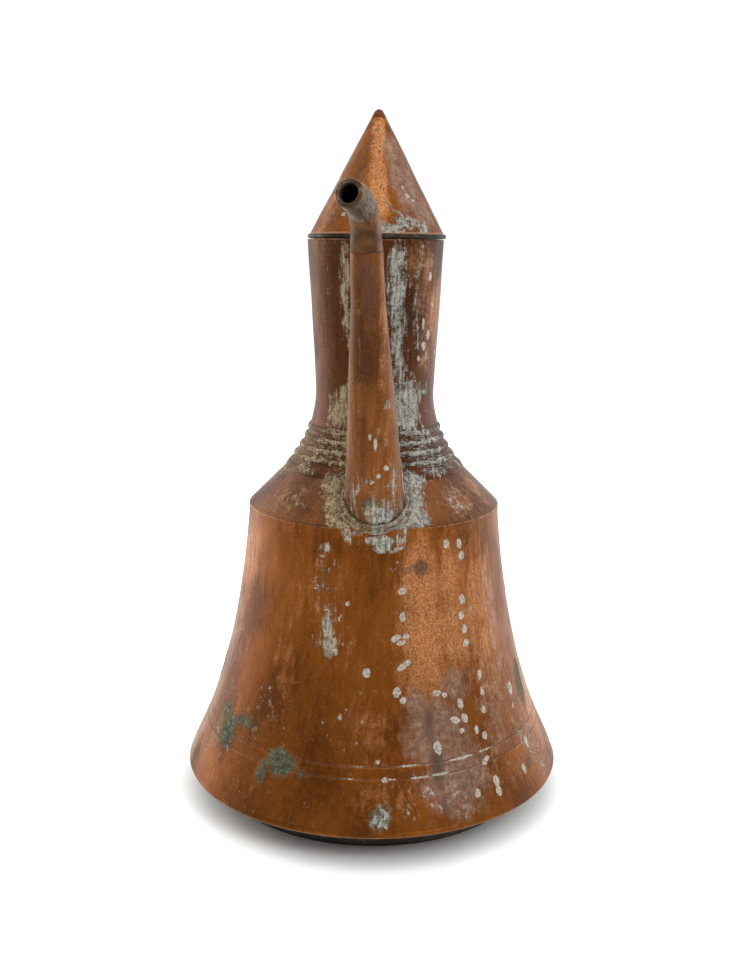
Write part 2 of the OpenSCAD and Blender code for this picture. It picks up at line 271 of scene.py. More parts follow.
def pushed_out(points, by):
    """Points moved level, away from the body's axis."""
    r = np.hypot(points[..., 0], points[..., 1])
    share = 1 + by / np.maximum(r, 1e-6)
    return np.stack([points[..., 0] * share, points[..., 1] * share, points[..., 2]], axis=-1)


# --- meshes ---


def make_mesh(name, points, faces, fields):
    mesh = bpy.data.meshes.new(name)
    lifted = (points.reshape(-1, 3) + [0, 0, FOOT_H]) * MM
    mesh.from_pydata(lifted.tolist(), [], faces)
    for key, value in (fields or {}).items():
        layer = mesh.attributes.new(key, "FLOAT", "POINT")
        layer.data.foreach_set("value", np.asarray(value, np.float32).ravel())
    mesh.polygons.foreach_set("use_smooth", [True] * len(mesh.polygons))
    mesh.update()
    obj = bpy.data.objects.new(name, mesh)
    bpy.context.scene.collection.objects.link(obj)
    return obj


def grid_faces(rows, columns, around, along):
    """Quads of a grid, closed round its columns and along its rows as asked."""
    i = np.arange(rows if along else rows - 1)[:, None]
    j = np.arange(columns if around else columns - 1)[None, :]
    up = (i + 1) % rows
    on = (j + 1) % columns
    quads = np.stack([i * columns + j, i * columns + on, up * columns + on, up * columns + j], axis=-1)
    return quads.reshape(-1, 4).tolist()


def shell(name, points, fields=None, around=True, along=True, caps=False):
    """A mesh from a grid of points. Caps close its first and last rows."""
    rows, columns = points.shape[:2]
    faces = grid_faces(rows, columns, around, along)
    if caps:
        faces.append(list(range(columns - 1, -1, -1)))
        faces.append(list(range((rows - 1) * columns, rows * columns)))
    return make_mesh(name, points, faces, fields)


def finish_piece(obj, body, slot, material, *nodes):
    obj.data.materials.append(material)
    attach(obj, body)
    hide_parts(*nodes)


def add_piece(name, points, fields, body, slot, material, node):
    """A shell of the looks, in place of one CAD node."""
    finish_piece(shell(name, points, fields), body, slot, material, node)


def by_row(values, points):
    """A field that gives every point in a row that row's value."""
    return np.asarray(values)[:, None] * np.ones(points.shape[:-1])


# --- marks on the copper ---

# Each mark is angle, height, half width, half height, and then strength (1 where it is left out)
# and turn in degrees (0 where it is left out). Flecks are small and white-grey, crust is wider.
SKIRT_FLECKS = [
    (32, 172, 2, 2.6), (39, 171, 1.8, 2.8, 1, 10), (40, 163, 1.9, 2.4), (8, 159, 2.2, 1.6, 0.55),
    (12, 145, 2.4, 2, 1, 20), (12, 129, 1.8, 3), (9, 116, 3.2, 1.9, 1, 25), (13, 117, 2, 1.7),
    (11, 113, 2.6, 1.6, 1, 10), (12, 99, 4.6, 1.8, 1, 32), (9, 83, 2.4, 2.8), (11, 78, 2, 1.8),
    (24, 80, 2.6, 1.7), (27, 78, 2, 1.6), (39, 135, 2, 2.8, 1, 15), (38, 125, 2.4, 2.2),
    (39, 116, 1.9, 2.8, 1, 15), (39, 107, 2.4, 2.2), (44, 85, 1.8, 3), (44, 74, 1.7, 2.6),
    (33, 71, 1.9, 3.2, 1, 12), (30, 62, 3.2, 1.8, 1, -20), (34, 62, 2, 2.8, 1, 15),
    (22, 48, 2.4, 3.6, 1, 10), (-2, 95, 2.2, 2.8), (2, 43, 1.5, 1.2, 0.8), (4, 33, 1.7, 1.4),
    (39, 34, 3.4, 1.5, 1, 30), (41, 21, 2.4, 3, 1, 10), (41, 15, 2.2, 2.6, 1, 20), (33, 18, 1.8, 2.4),
    (62, 67, 2.2, 3.8), (62, 31, 2.2, 3.4), (55, 19, 2, 3), (41, 48, 1.8, 2.2), (38, 53, 1.6, 2.4),
    (32, 55, 1.8, 1.6), (43, 63, 1.6, 2.4), (-19, 133, 2.2, 2.4, 0.6), (-14, 107, 1.8, 3, 0.6),
    (-10, 137, 1.5, 1.8, 0.7), (-13, 128, 1.5, 3.2, 0.55), (-11, 112, 1.5, 2.6, 0.55),
    (-24, 147, 2.6, 5, 0.5), (-21, 166, 3, 2.4, 0.5), (-11, 68, 1.7, 2.2, 0.58),
    (-9, 73, 1.4, 1.8, 0.55), (-4, 74, 1.4, 1.8, 0.5), (-15, 56, 1.5, 1.8, 0.5),
    (-5, 53, 1.4, 1.8, 0.5), (-17, 64, 1.6, 1.5, 0.5), (15, 33, 7, 0.6, 0.85),
    (22, 33.2, 6, 0.75, 0.95), (30, 39.6, 8, 0.7, 0.9), (6, 33, 4, 0.55, 0.7), (12, 40, 9, 0.6, 0.75),
    (40, 40, 7, 0.6, 0.75), (-7, 33, 6, 0.5, 0.6), (-4, 40, 8, 0.5, 0.55),
]
SKIRT_CRUST = [
    (-18, 123, 3.6, 9, 1, 6), (-16.5, 111, 4.4, 8, 0.95, -10), (3, 13, 7.5, 7.5, 0.62),
    (3, 177, 9, 3.2, 0.95), (4, 172.5, 5, 3.4, 0.95), (10, 171, 5.5, 1.5, 0.85, 18),
    (-20, 171, 4.5, 3.4, 0.7), (-9, 181, 7, 2.2, 0.7), (62, 60, 12, 24, 0.36), (64, 32, 12, 20, 0.44),
    (70, 16, 14, 12, 0.42), (45, 150, 8, 24, 0.2), (20, 20, 26, 16, 0.26), (-40, 62, 26, 22, 0.2),
    (-62, 40, 20, 24, 0.3), (-20, 140, 10, 30, 0.26), (-20, 118, 8, 22, 0.34),
]
SKIRT_GREEN = [
    (-57, 40, 10, 11, 0.9), (-49, 52, 13, 5, 0.75, 10), (-62, 52, 5, 7, 0.8), (-30, 36, 12, 8, 0.95),
    (-36, 28, 5, 9, 0.8), (-22, 33, 5, 4, 0.6, -20), (3, 13, 8.5, 8.5, 0.72), (17, 7, 7, 4, 0.5),
    (60, 22, 7, 7, 0.6), (66, 44, 4, 7, 0.4), (5, 174, 6, 3.5, 0.62),
]
# Lighter copper patches that are partly painted highlights: the band right of the crease at 12 degrees is a
# lit facet.
SKIRT_BRIGHT_AND_HIGHLIGHT = [
    (20, 148, 14, 30, 0.95), (21, 116, 17, 24), (20, 92, 18, 20, 0.8), (33, 150, 12, 30, 0.7),
    (35, 112, 13, 30, 0.75), (48, 116, 16, 50, 0.6), (-25, 150, 12, 26, 0.3), (-12, 118, 7, 40, 0.35),
    (0, 60, 16, 24, 0.35), (5, 24, 30, 10, 0.35), (-34, 98, 10, 40, 0.3), (38, 34, 22, 16, 0.4),
]
SKIRT_MAUVE = [
    (22, 56, 22, 24), (27, 30, 26, 24, 0.9), (16, 74, 8, 14, 0.8), (32, 84, 14, 14, 0.7),
    (48, 60, 14, 40, 0.55), (58, 120, 8, 50, 0.6), (-66, 110, 8, 60, 0.4),
]
SKIRT_DARK = [
    (20, 159, 5.6, 6), (14, 158, 6, 3, 0.6), (20, 62, 4.5, 14, 0.75), (21, 38, 5.5, 16, 0.85),
    (22, 16, 5, 9, 0.7), (12, 134, 1.6, 26, 0.6), (-20, 150, 5, 16, 0.6), (-19, 96, 5, 20, 0.4),
    (-12, 66, 18, 12, 0.45), (-33, 60, 10, 30, 0.4), (-52, 100, 8, 50, 0.35), (52, 40, 10, 20, 0.5),
]

UPPER_CRUST = [
    (-25.5, 334, 4.5, 26, 0.7), (-25, 300, 4, 20, 0.6), (18, 332, 6.5, 30, 0.72),
    (20, 300, 6, 26, 0.62), (40, 320, 14, 40, 0.22), (-40, 227, 18, 13, 0.62), (-31, 250, 9, 18, 0.85),
    (-44, 250, 7, 13, 0.55), (-22, 240, 7, 40, 0.72), (-50, 215, 18, 6, 0.5), (40, 228, 20, 14, 0.74),
    (33, 252, 10, 19, 0.9), (20, 258, 8, 42, 0.66), (50, 256, 8, 14, 0.55), (52, 216, 18, 6, 0.6),
    (-25, 207, 7, 8, 0.82), (-21, 197, 5.5, 8, 0.82), (-18.5, 189, 4.5, 5, 0.82), (24, 207, 8, 8, 0.82),
    (21.5, 197, 8, 8, 0.82), (20, 189, 8, 5, 0.82), (-13, 186, 7, 3, 0.8), (13, 186, 8, 3, 0.85),
    (44, 195, 12, 8, 0.36), (-46, 195, 12, 8, 0.3),
]
UPPER_FLECKS = [
    (54, 336, 2, 3), (56, 299, 1.8, 3.4), (50, 292, 2.2, 3.4, 1, 10), (48, 306, 1.3, 4),
    (60, 318, 1.4, 2.4), (44, 284, 1.4, 2),
]
UPPER_CLEAR = [
    (-60, 247, 7, 14, 0.8), (56, 248, 6, 10, 0.7), (-36, 285, 8, 18, 0.5),
]
# Lighter copper on the shoulder and neck, mostly painted highlights: the lit streaks down the neck's right
# side.
UPPER_BRIGHT_AND_HIGHLIGHT = [
    (48, 330, 10, 30, 0.45), (36, 345, 10, 16, 0.45), (54, 290, 8, 26, 0.35), (-48, 196, 20, 10, 0.3),
    (48, 194, 20, 8, 0.4), (70, 196, 10, 10, 0.6),
]
UPPER_DARK = [
    (-55, 280, 10, 30, 0.3), (-20, 275, 7, 26, 0.5), (14, 288, 6, 20, 0.4), (-40, 262, 16, 12, 0.4),
    (44, 268, 14, 12, 0.45), (34, 312, 5, 22, 0.5), (-60, 200, 12, 8, 0.3),
]

LID_CRUST = [
    (12, 366, 12, 4, 0.8), (26, 368, 11, 5, 0.74), (42, 366, 8, 5, 0.7), (18, 377, 7, 1.6, 0.72, -38),
]
LID_FLECKS = [
    (37, 386, 1.8, 1.6), (33, 391, 1.3, 1.2), (44, 383, 1.2, 1), (-34, 374, 1.7, 1.4),
]
# Painted highlight: the lit stripe down the lid's front, with weaker ones on its sides.
LID_BRIGHT_AND_HIGHLIGHT = [
    (1, 420, 5, 22), (1, 395, 6, 20), (2, 378, 6.5, 14, 0.8), (-18, 392, 5, 20, 0.4),
    (-60, 380, 8, 20, 0.5), (60, 380, 8, 24, 0.4),
]
LID_MAUVE = [
    (40, 392, 12, 22, 0.95), (30, 412, 7, 16, 0.85), (52, 374, 10, 12, 0.8), (-50, 376, 9, 12, 0.4),
]
LID_DARK = [
    (-30, 400, 8, 26, 0.55), (-44, 376, 10, 9, 0.45), (14, 398, 4, 22, 0.5), (26, 366, 9, 2.2, 0.6, 8),
]

SIDES_AND_BACK = (72, 288)


def patches(points, marks, larger=1.0):
    """A field over the surface: a mark's strength in its middle, half at its edge, 0 well outside."""
    angle = degrees_of(points)
    r = np.hypot(points[..., 0], points[..., 1])
    total = np.zeros(angle.shape)
    for mark in marks:
        at, height, half_w, half_h, level, turn = mark + (1.0, 0.0)[len(mark) - 4 :]
        across = np.radians((angle - at + 180) % 360 - 180) * r
        up = points[..., 2] - height
        c = math.cos(math.radians(turn))
        s = math.sin(math.radians(turn))
        far = np.hypot((across * c + up * s) / half_w, (up * c - across * s) / half_h) / larger
        total = np.maximum(total, level * np.clip(1 - 0.5 * far**2, 0, 1))
    return total


def scattered(seed, count, heights, half, level):
    """Marks at repeatable places on the sides and back, which have them as the front does."""
    pick = np.random.default_rng(seed)
    marks = []
    for _ in range(count):
        size = pick.uniform(*half)
        angle = pick.uniform(*SIDES_AND_BACK)
        height = pick.uniform(*heights)
        half_h = size * pick.uniform(1.0, 2.0)
        turn = pick.uniform(-30, 30)
        marks.append((angle, height, size, half_h, level * pick.uniform(0.75, 1.0), turn))
    return marks


def marked(points, marks, *more, larger=1.0):
    """One field of the marks seen in the photo and of the scattered ones."""
    return np.maximum(patches(points, marks, larger), patches(points, scattered(*more)))


def skirt_fields(points):
    z = points[..., 2]
    angle = degrees_of(points)
    near = hump(from_spout(points), 6.5, 2.2) * ramp(z, 170, 178) * (points[..., 1] < 0)
    crust = np.maximum(marked(points, SKIRT_CRUST, 12, 12, (8, 178), (9, 20), 0.4), 0.7 * near)
    dark = marked(points, SKIRT_DARK, 16, 18, (10, 170), (4, 12), 0.7)
    groove = sum(hump(z, h, 0.8) for h in SCRIBE_H)
    # Painted highlight: a pale line just under the crease.
    crease = 0.7 * ramp(z, CREASE_H - 1.2, CREASE_H - 0.2)
    return {
        "crust": crust,
        "fleck": marked(points, SKIRT_FLECKS, 11, 60, (8, 178), (1.3, 2.7), 0.85, larger=1.12),
        "green": marked(points, SKIRT_GREEN, 13, 9, (8, 70), (5, 12), 0.85),
        "bright_and_highlight": marked(points, SKIRT_BRIGHT_AND_HIGHLIGHT, 14, 14, (30, 170), (9, 22), 0.8),
        "mauve": marked(points, SKIRT_MAUVE, 15, 10, (10, 120), (10, 26), 0.8),
        "dark": np.maximum(dark, 0.7 * groove),
        "edge": np.maximum(crease, 0.75 * (1 - ramp(z, 0.9, 2.2))),
        "beige": 0.35 * ramp(-angle, -2, 8) * (np.abs(angle) < 90),
    }


def from_spout(points):
    """How far points are from the spout's side, in millimetres."""
    along = (points - SPOUT_FOOT) @ SPOUT_UP
    off = np.linalg.norm(points - SPOUT_FOOT - along[..., None] * SPOUT_UP, axis=-1)
    return off - (SPOUT_FOOT_R - SPOUT_TAPER * along)


def upper_fields(points, crest):
    """Fields of the shoulder and the neck. Crest is 1 on the beads' tops."""
    z = points[..., 2]
    angle = degrees_of(points)
    near = np.clip(from_spout(points), 0, 40)
    crust = marked(points, UPPER_CRUST, 22, 12, (205, 240), (8, 14), 0.62) - patches(points, UPPER_CLEAR)
    banded = ramp(z, 212, 216) * (1 - ramp(z, 236, 244))
    crust = crust * (1 - 0.45 * banded) + 0.5 * banded * crest * ramp(crust, 0.05, 0.4)
    crust = np.maximum(crust, 0.6 * hump(near, 7.0, 2.6) * (z < 214))
    dark = marked(points, UPPER_DARK, 26, 12, (190, 350), (4, 12), 0.7)
    # Painted highlight: a pale line just over the crease.
    crease = 0.7 * (1 - ramp(z, CREASE_H + 0.1, CREASE_H + 0.9))
    return {
        "crust": np.clip(crust, 0, 1),
        "fleck": marked(points, UPPER_FLECKS, 21, 22, (190, 355), (1.1, 2.0), 0.8, larger=0.95),
        "crest": crest * np.ones(z.shape),
        "banded": banded,
        "green": patches(points, scattered(23, 4, (186, 215), (4, 8), 0.8)),
        "bright_and_highlight": marked(points, UPPER_BRIGHT_AND_HIGHLIGHT, 24, 9, (190, 350), (8, 18), 0.7),
        "mauve": patches(points, scattered(25, 4, (190, 340), (8, 18), 0.6)),
        "dark": np.maximum(dark, 0.8 * hump(near, 6.4, 1.0)),
        "edge": np.maximum(crease, 0.7 * ramp(z, MOUTH_H - 1.5, MOUTH_H - 0.6)),
        "beige": ramp(-angle, -3, 6) * (np.abs(angle) < 110),
    }


def lid_fields(points):
    z = points[..., 2]
    return {
        "crust": patches(points, LID_CRUST),
        "fleck": marked(points, LID_FLECKS, 31, 14, (364, 420), (1.2, 2.4), 0.9),
        "green": patches(points, scattered(33, 2, (364, 375), (3, 6), 0.7)),
        # Painted highlights from the lid's marks; the ramp also makes the cone lighter towards its point.
        "bright_and_highlight": np.maximum(patches(points, LID_BRIGHT_AND_HIGHLIGHT), ramp(z, 425, 445) * 0.8),
        "mauve": marked(points, LID_MAUVE, 35, 4, (366, 400), (8, 14), 0.7),
        "dark": marked(points, LID_DARK, 36, 6, (366, 410), (3, 8), 0.7),
        "edge": 1 - ramp(z, LID_H + 1.4, LID_H + 3.4),
        "beige": 0.3 * (degrees_of(points) < 0),
    }


def only_outside(fields, outside):
    """Fields that are kept on the outer rows and are nothing on the inner ones."""
    return {key: value * outside[:, None] for key, value in fields.items()}


def crust_height(points, crust):
    """How far the crust stands on the copper, in millimetres."""
    grain = 0.55 + 0.45 * noise(points, 2.6, 5)
    return ramp(crust + 0.25 * noise(points, 5.5, 6), 0.42, 0.80) * CRUST_THICK * grain


# --- the body's pieces ---


def skirt_rows():
    heights = np.arange(4.2, CREASE_H - 0.4, 0.9)
    near = [np.arange(h - 1.5, h + 1.51, 0.3) for h in SCRIBE_H]
    heights = np.unique(np.round(np.concatenate([heights, *near]), 2))
    groove = sum(GROOVE_DEEP * hump(heights, h, 0.5) for h in SCRIBE_H)
    wall = np.stack([body_radius(heights) - groove, heights], axis=1)
    hem = arc([RIM_R - HEM_R, HEM_R], HEM_R, np.arange(150, 415, 16))
    top = np.array([[CREASE_R, CREASE_H - 0.3], [CREASE_R - 0.2, CREASE_H], [CREASE_R - SHEET, CREASE_H]])
    inner = wall[::-6] - [SHEET, 0]
    outside = np.concatenate([np.ones(len(hem) + len(wall)), [1, 1, 0], np.zeros(len(inner))])
    return np.concatenate([hem, wall, top, inner]), outside


def make_skirt(material):
    rows, outside = skirt_rows()
    points = lathe(rows, front_angles(0.5, 1.1))
    fields = only_outside(skirt_fields(points), outside)
    crease = 0.9 * hump(degrees_of(points), 12, 3.0) * ramp(points[..., 2], 60, 100)
    lift = dent(points) - 0.55 * crease
    lift = lift + crust_height(points, np.maximum(fields["crust"], fields["fleck"]))
    lift = lift + GREEN_THICK * ramp(fields["green"] + 0.2 * noise(points, 5, 7), 0.45, 0.7)
    points = pushed_out(points, lift)
    r = np.hypot(points[..., 0], points[..., 1])
    points = pushed_out(points, np.minimum(0, RIM_R - 0.02 - r))
    add_piece("skirt_shell", points, fields, "vessel", "skirt_copper", material, "skirt")


def make_base_pan(material):
    inside = [[r - SHEET - 0.2, z] for r, z in SKIRT_CURVE if z < 9]
    ground = -FOOT_H
    outer = [[0.5, ground], [60, ground], [FOOT_R - 6, ground], [FOOT_R - 3, ground + 0.1]]
    outer += [[FOOT_R - 1, ground + 0.8], [FOOT_R, ground + 2.2]]
    outer += np.linspace(outer[-1], inside[0], 6)[1:-1].tolist()
    rows = outer + inside + [[q[0] - SHEET, q[1] + 0.4] for q in inside[::-2]]
    rows += [[FOOT_R - SHEET, ground + 3], [FOOT_R - 4, ground + SHEET], [0.5, ground + SHEET]]
    points = lathe(rows, np.radians(np.arange(0, 360, 1.5)))
    bottom = points[..., 2] < ground + 0.5
    points = pushed_out(points, 0.35 * noise(points, 24, 8) - 0.4)
    points[..., 2] = np.where(bottom, np.maximum(points[..., 2], ground), points[..., 2])
    worn = np.where(points[..., 2] < ground + 2.5, 0.8, 0.0)
    add_piece("base_pan_shell", points, {"edge": worn}, "vessel", "base_copper", material, "base_pan")


def make_shoulder(material):
    top_r = NECK_FOOT_R - 7
    steps = np.arange(CREASE_R, top_r, -0.8)
    wall = SHEET * math.sqrt(2)
    outer = np.stack([steps, shoulder_z(steps)], axis=1)
    low_r = CREASE_R - 2 * SHEET
    flange_r = CREASE_R - SHEET - 0.1
    inner = [[r, shoulder_z(r) - wall] for r in (top_r, 70, low_r)]
    inner += [[low_r, CREASE_H - 5], [flange_r, CREASE_H - 5], [flange_r, CREASE_H - 0.2]]
    rows = np.concatenate([outer, inner])
    outside = np.repeat([1.0, 0.0], [len(outer), len(inner)])
    points = lathe(rows, front_angles(0.6, 1.2))
    fields = only_outside(upper_fields(points, 0.0), outside)
    points = pushed_out(points, dent(points) + crust_height(points, fields["crust"]))
    add_piece("shoulder_shell", points, fields, "vessel", "shoulder_copper", material, "shoulder")


def neck_rows():
    """The neck's outline with its beads, and how high each row stands on a bead, from 0 to 1."""
    foot = bezier(NECK_FOOT_CURVE, 110)
    tube = bezier(NECK_TUBE_CURVE, 96)[1:]
    line = np.concatenate([[[NECK_FOOT_R, shoulder_z(NECK_FOOT_R)]], foot, tube])
    along = np.gradient(line, axis=0)
    along /= np.linalg.norm(along, axis=1)[:, None]
    outward = np.stack([along[:, 1], -along[:, 0]], axis=1)
    rise = np.zeros(len(line))
    for t in BEAD_PLACES:
        middle = bezier(NECK_FOOT_CURVE, 101)[int(round(t * 100))] - np.array([0.4, 0.1]) * BEAD_R
        off = middle - line
        side = np.abs(np.sum(off * along, axis=1))
        half = np.sqrt(np.maximum(0, BEAD_R**2 - side**2))
        rise = np.maximum(rise, np.where(side < BEAD_R, np.sum(off * outward, axis=1) + half, 0))
    rise = np.maximum(rise, 0) * BEAD_SHARE
    outer = line + outward * rise[:, None]
    mouth = np.array([[MOUTH_R - 0.4, MOUTH_H], [MOUTH_R - SHEET + 0.3, MOUTH_H]])
    inner = tube[::-5] - [SHEET, 0]
    inner_foot = foot[::-8] - [SHEET + 0.9, 0.2]
    rows = np.concatenate([outer, mouth, inner, inner_foot])
    crest = np.concatenate([rise / BEAD_RISE, np.zeros(len(rows) - len(outer))])
    outside = np.arange(len(rows)) <= len(outer)
    return rows, np.clip(crest, 0, 1), outside


def make_neck(material):
    rows, crest, outside = neck_rows()
    points = lathe(rows, front_angles(0.9, 1.5, 90.0))
    fields = only_outside(upper_fields(points, crest[:, None]), outside)
    valley = np.abs(np.gradient(crest))[:, None] * 2.0
    fields["dark"] = np.clip(fields["dark"] + valley * (1 - crest[:, None]), 0, 1)
    lift = dent(points) + crust_height(points, fields["crust"]) + 0.25 * crest[:, None] * noise(points, 6, 9)
    points = pushed_out(points, lift * (1 - ramp(points[..., 2], MOUTH_H - 6, MOUTH_H - 2)))
    add_piece("neck_shell", points, fields, "vessel", "neck_copper", material, "neck")


def make_neck_solder(material):
    r = NECK_FOOT_R
    z = shoulder_z(r)
    rows = [[r - 0.6, z - 0.6], [r + 2.6, z - 3.0], [r + 2.7, z - 2.2], [r + 2.2, z - 0.9]]
    rows += [[r + 1.3, z + 0.5], [r + 0.2, z + 1.6], [r - 0.9, z + 2.2]]
    points = lathe(rows, front_angles(0.8, 1.5))
    fields = upper_fields(points, 0.35)
    points = pushed_out(points, dent(points) + 0.35 * noise(points, 4, 41) - 0.1)
    add_piece("neck_solder_bead", points, fields, "vessel", "solder", material, "neck_solder")


# --- spout ---


def unit(v):
    return np.array(v, float) / np.linalg.norm(v)


SPOUT_LEN = float(np.linalg.norm(SPOUT_TOP - SPOUT_FOOT))
SPOUT_TAPER = (SPOUT_FOOT_R - SPOUT_TOP_R) / SPOUT_LEN
SPOUT_UP = unit(SPOUT_TOP - SPOUT_FOOT)
SPOUT_BACK = unit(np.array([0, 1, 0]) - SPOUT_UP[1] * SPOUT_UP)
SPOUT_SIDE = np.cross(SPOUT_UP, SPOUT_BACK)
NOZZLE_LEVEL = math.cos(math.radians(NOZZLE_RISE))
NOZZLE_WAY = np.array(
    [
        -math.sin(math.radians(NOZZLE_SWING)) * NOZZLE_LEVEL,
        -math.cos(math.radians(NOZZLE_SWING)) * NOZZLE_LEVEL,
        math.sin(math.radians(NOZZLE_RISE)),
    ]
)


def spout_radius(s):
    """The spout's radius at s millimetres along it."""
    places = [-SPOUT_BURIED, 0, SPOUT_SHOULDER, SPOUT_LEN]
    radii = [SPOUT_FOOT_R + SPOUT_BURIED * SPOUT_TAPER, SPOUT_FOOT_R, SPOUT_TOP_R + 0.7, SPOUT_TOP_R]
    return np.interp(s, places, radii)


def off_spout(angles):
    """Directions straight away from the spout. Angle 0 is its front, and it grows towards +X."""
    return -np.cos(angles)[..., None] * SPOUT_BACK - np.sin(angles)[..., None] * SPOUT_SIDE


def on_spout(s, angles, grow=0.0):
    """Points on the spout, s millimetres along it."""
    s = np.broadcast_to(s, np.broadcast(s, angles).shape)
    r = (spout_radius(s) + grow)[..., None]
    return SPOUT_FOOT + s[..., None] * SPOUT_UP + r * off_spout(angles)


def is_inside(points, off=0.0):
    """Whether points are inside the body, or less than off millimetres outside it."""
    return np.hypot(points[..., 0], points[..., 1]) < body_radius(points[..., 2]) + off


def meets_body(angles):
    """For each angle, how far along the spout its side comes out of the body."""
    low = np.full(len(angles), -SPOUT_BURIED)
    high = np.full(len(angles), SPOUT_SEARCH)
    return halved(low, high, lambda s: is_inside(on_spout(s, angles)))[1]


def spout_marks(points, marks):
    """A field on the spout's front, from marks given as x, height, half width, half height, strength."""
    total = np.zeros(points.shape[:-1])
    front = points[..., 1] < SPOUT_FOOT[1] - (points[..., 2] - SPOUT_FOOT[2]) * 0.19 + 6
    for x, height, half_w, half_h, level in marks:
        far = np.hypot((points[..., 0] - x) / half_w, (points[..., 2] - height) / half_h)
        total = np.maximum(total, level * np.clip(1 - 0.5 * far**2, 0, 1))
    return total * front


SPOUT_CRUST = [
    (-2, 197, 5, 7, 0.72), (11, 196, 8, 12, 0.7), (0, 204, 6, 6, 0.62), (12, 212, 5, 12, 0.5),
    (-12, 200, 4, 14, 0.5), (4, 190, 12, 5, 0.55), (8, 262, 2, 3, 0.6),
]
SPOUT_FLECKS = [
    (7.5, 223, 1.7, 1.9, 1), (3, 218, 1.4, 1.6, 1), (-1, 214, 1.6, 1.4, 0.9), (1, 238, 1.2, 4.6, 0.95),
    (-2.5, 243, 1, 2.4, 0.85),
]
SPOUT_GREEN = [
    (-2, 200, 6, 6, 0.8), (6, 192, 7, 5, 0.62),
]
# Painted highlights: lit streaks down the spout's sides, strongest on its right.
SPOUT_BRIGHT_AND_HIGHLIGHT = [
    (5, 310, 2.5, 50, 0.45), (6, 240, 5, 30, 0.3), (-9, 270, 2, 60, 0.3),
]
SPOUT_DARK = [
    (-6, 290, 4, 50, 0.55), (-7, 235, 5, 30, 0.55), (9, 275, 3, 50, 0.4), (-3, 326, 4, 26, 0.75),
    (-7, 340, 4, 24, 0.6),
]


def make_spout(material):
    angles = np.radians(np.arange(0, 360, 3.0))
    start = meets_body(angles) - 1.2
    s = start + (SPOUT_LEN - start) * np.linspace(0, 1, 150)[:, None]
    inner_s = s[::-10]
    points = np.concatenate([on_spout(s, angles), on_spout(inner_s, angles, -SPOUT_T)])
    past_foot = np.concatenate([s, inner_s]) - start
    outside = np.repeat([1.0, 0.0], [len(s), len(inner_s)])
    up = points[..., 2]
    around = np.abs((np.degrees(angles) + 180) % 360 - 180)
    seam = hump(around, 88, 9) * ramp(up, 186, 200) * (1 - 0.6 * ramp(up, 250, 340))
    foot_crust = 0.3 * (1 - ramp(up, 200, 260)) + 0.42 * seam
    fields = {
        "crust": np.maximum(0.95 * spout_marks(points, SPOUT_CRUST), foot_crust),
        "fleck": spout_marks(points, SPOUT_FLECKS),
        "green": spout_marks(points, SPOUT_GREEN),
        "bright_and_highlight": spout_marks(points, SPOUT_BRIGHT_AND_HIGHLIGHT),
        "dark": np.maximum(spout_marks(points, SPOUT_DARK), 1 - ramp(past_foot, 2.6, 5.0)),
        "beige": 0.5 * (points[..., 0] < 0),
    }
    fields = only_outside(fields, outside)
    middle = SPOUT_FOOT + ((points - SPOUT_FOOT) @ SPOUT_UP)[..., None] * SPOUT_UP
    lift = 0.28 * noise(points, 24, 51) + 0.07 * noise(points, 7, 52)
    lift = lift + 0.7 * crust_height(points, fields["crust"])
    lift = lift * (1 - ramp(up, SPOUT_TOP[2] - 14, SPOUT_TOP[2] - 2))
    points = pushed_from(points, middle, lift)
    add_piece("spout_body", points, fields, "vessel", "spout_copper", material, "spout_tube")


def nozzle_path():
    """Points and directions down the middle of the nozzle, up to its ferrule."""
    side = unit(NOZZLE_WAY - np.dot(NOZZLE_WAY, SPOUT_UP) * SPOUT_UP)
    bend = math.acos(float(np.dot(NOZZLE_WAY, SPOUT_UP)))
    middle = SPOUT_TOP + NOZZLE_BEND_R * side + NOZZLE_LEAD * SPOUT_UP
    points = [SPOUT_TOP + SPOUT_UP * d for d in np.linspace(-0.2, NOZZLE_LEAD, 10)]
    ways = [SPOUT_UP] * 10
    for a in np.linspace(0, bend, 40)[1:]:
        points.append(middle + NOZZLE_BEND_R * (math.sin(a) * SPOUT_UP - math.cos(a) * side))
        ways.append(math.cos(a) * SPOUT_UP + math.sin(a) * side)
    return np.array(points), np.array(ways)


def tube_rings(path, ways, radii):
    """Rings of points square to each way. Each ring starts on the side nearest to +X."""
    turn = np.radians(np.arange(0, 360, 5.0))[:, None]
    rings = []
    for p, way, r in zip(path, ways, radii):
        first = unit(np.array([1.0, 0, 0]) - way[0] * way)
        rings.append(p + r * (np.cos(turn) * first + np.sin(turn) * np.cross(way, first)))
    return np.array(rings)


def pushed_from(points, middle, lift):
    """Points moved straight away from a middle."""
    out = points - middle
    out /= np.maximum(np.linalg.norm(out, axis=-1), 1e-6)[..., None]
    return points + out * lift[..., None]


def make_nozzle(material):
    path, ways = nozzle_path()
    count = len(path)
    row = np.arange(count)
    radii = np.interp(row, [0, 9, count], [SPOUT_TOP_R + 0.03, NOZZLE_R, NOZZLE_R])
    outer = tube_rings(path, ways, radii)
    outer = pushed_from(outer, path[:, None, :], 0.22 * noise(outer, 8, 61) * ramp(row, 0, 5)[:, None])
    inner = tube_rings(path[::-1], ways[::-1], radii[::-1] - SPOUT_T)
    points = np.concatenate([outer, inner])
    bare = 1.3 * (1 - ramp(row, 0.22 * count, 0.80 * count))
    fields = {
        # The inside rows get the painted shade of the bore.
        "inside": by_row(np.repeat([0.0, 1.0], count), points),
        "bare": by_row(np.concatenate([bare, 0 * bare]), points),
    }
    add_piece("nozzle_bend", points, fields, "vessel", "nozzle_tin", material, "spout_nozzle")


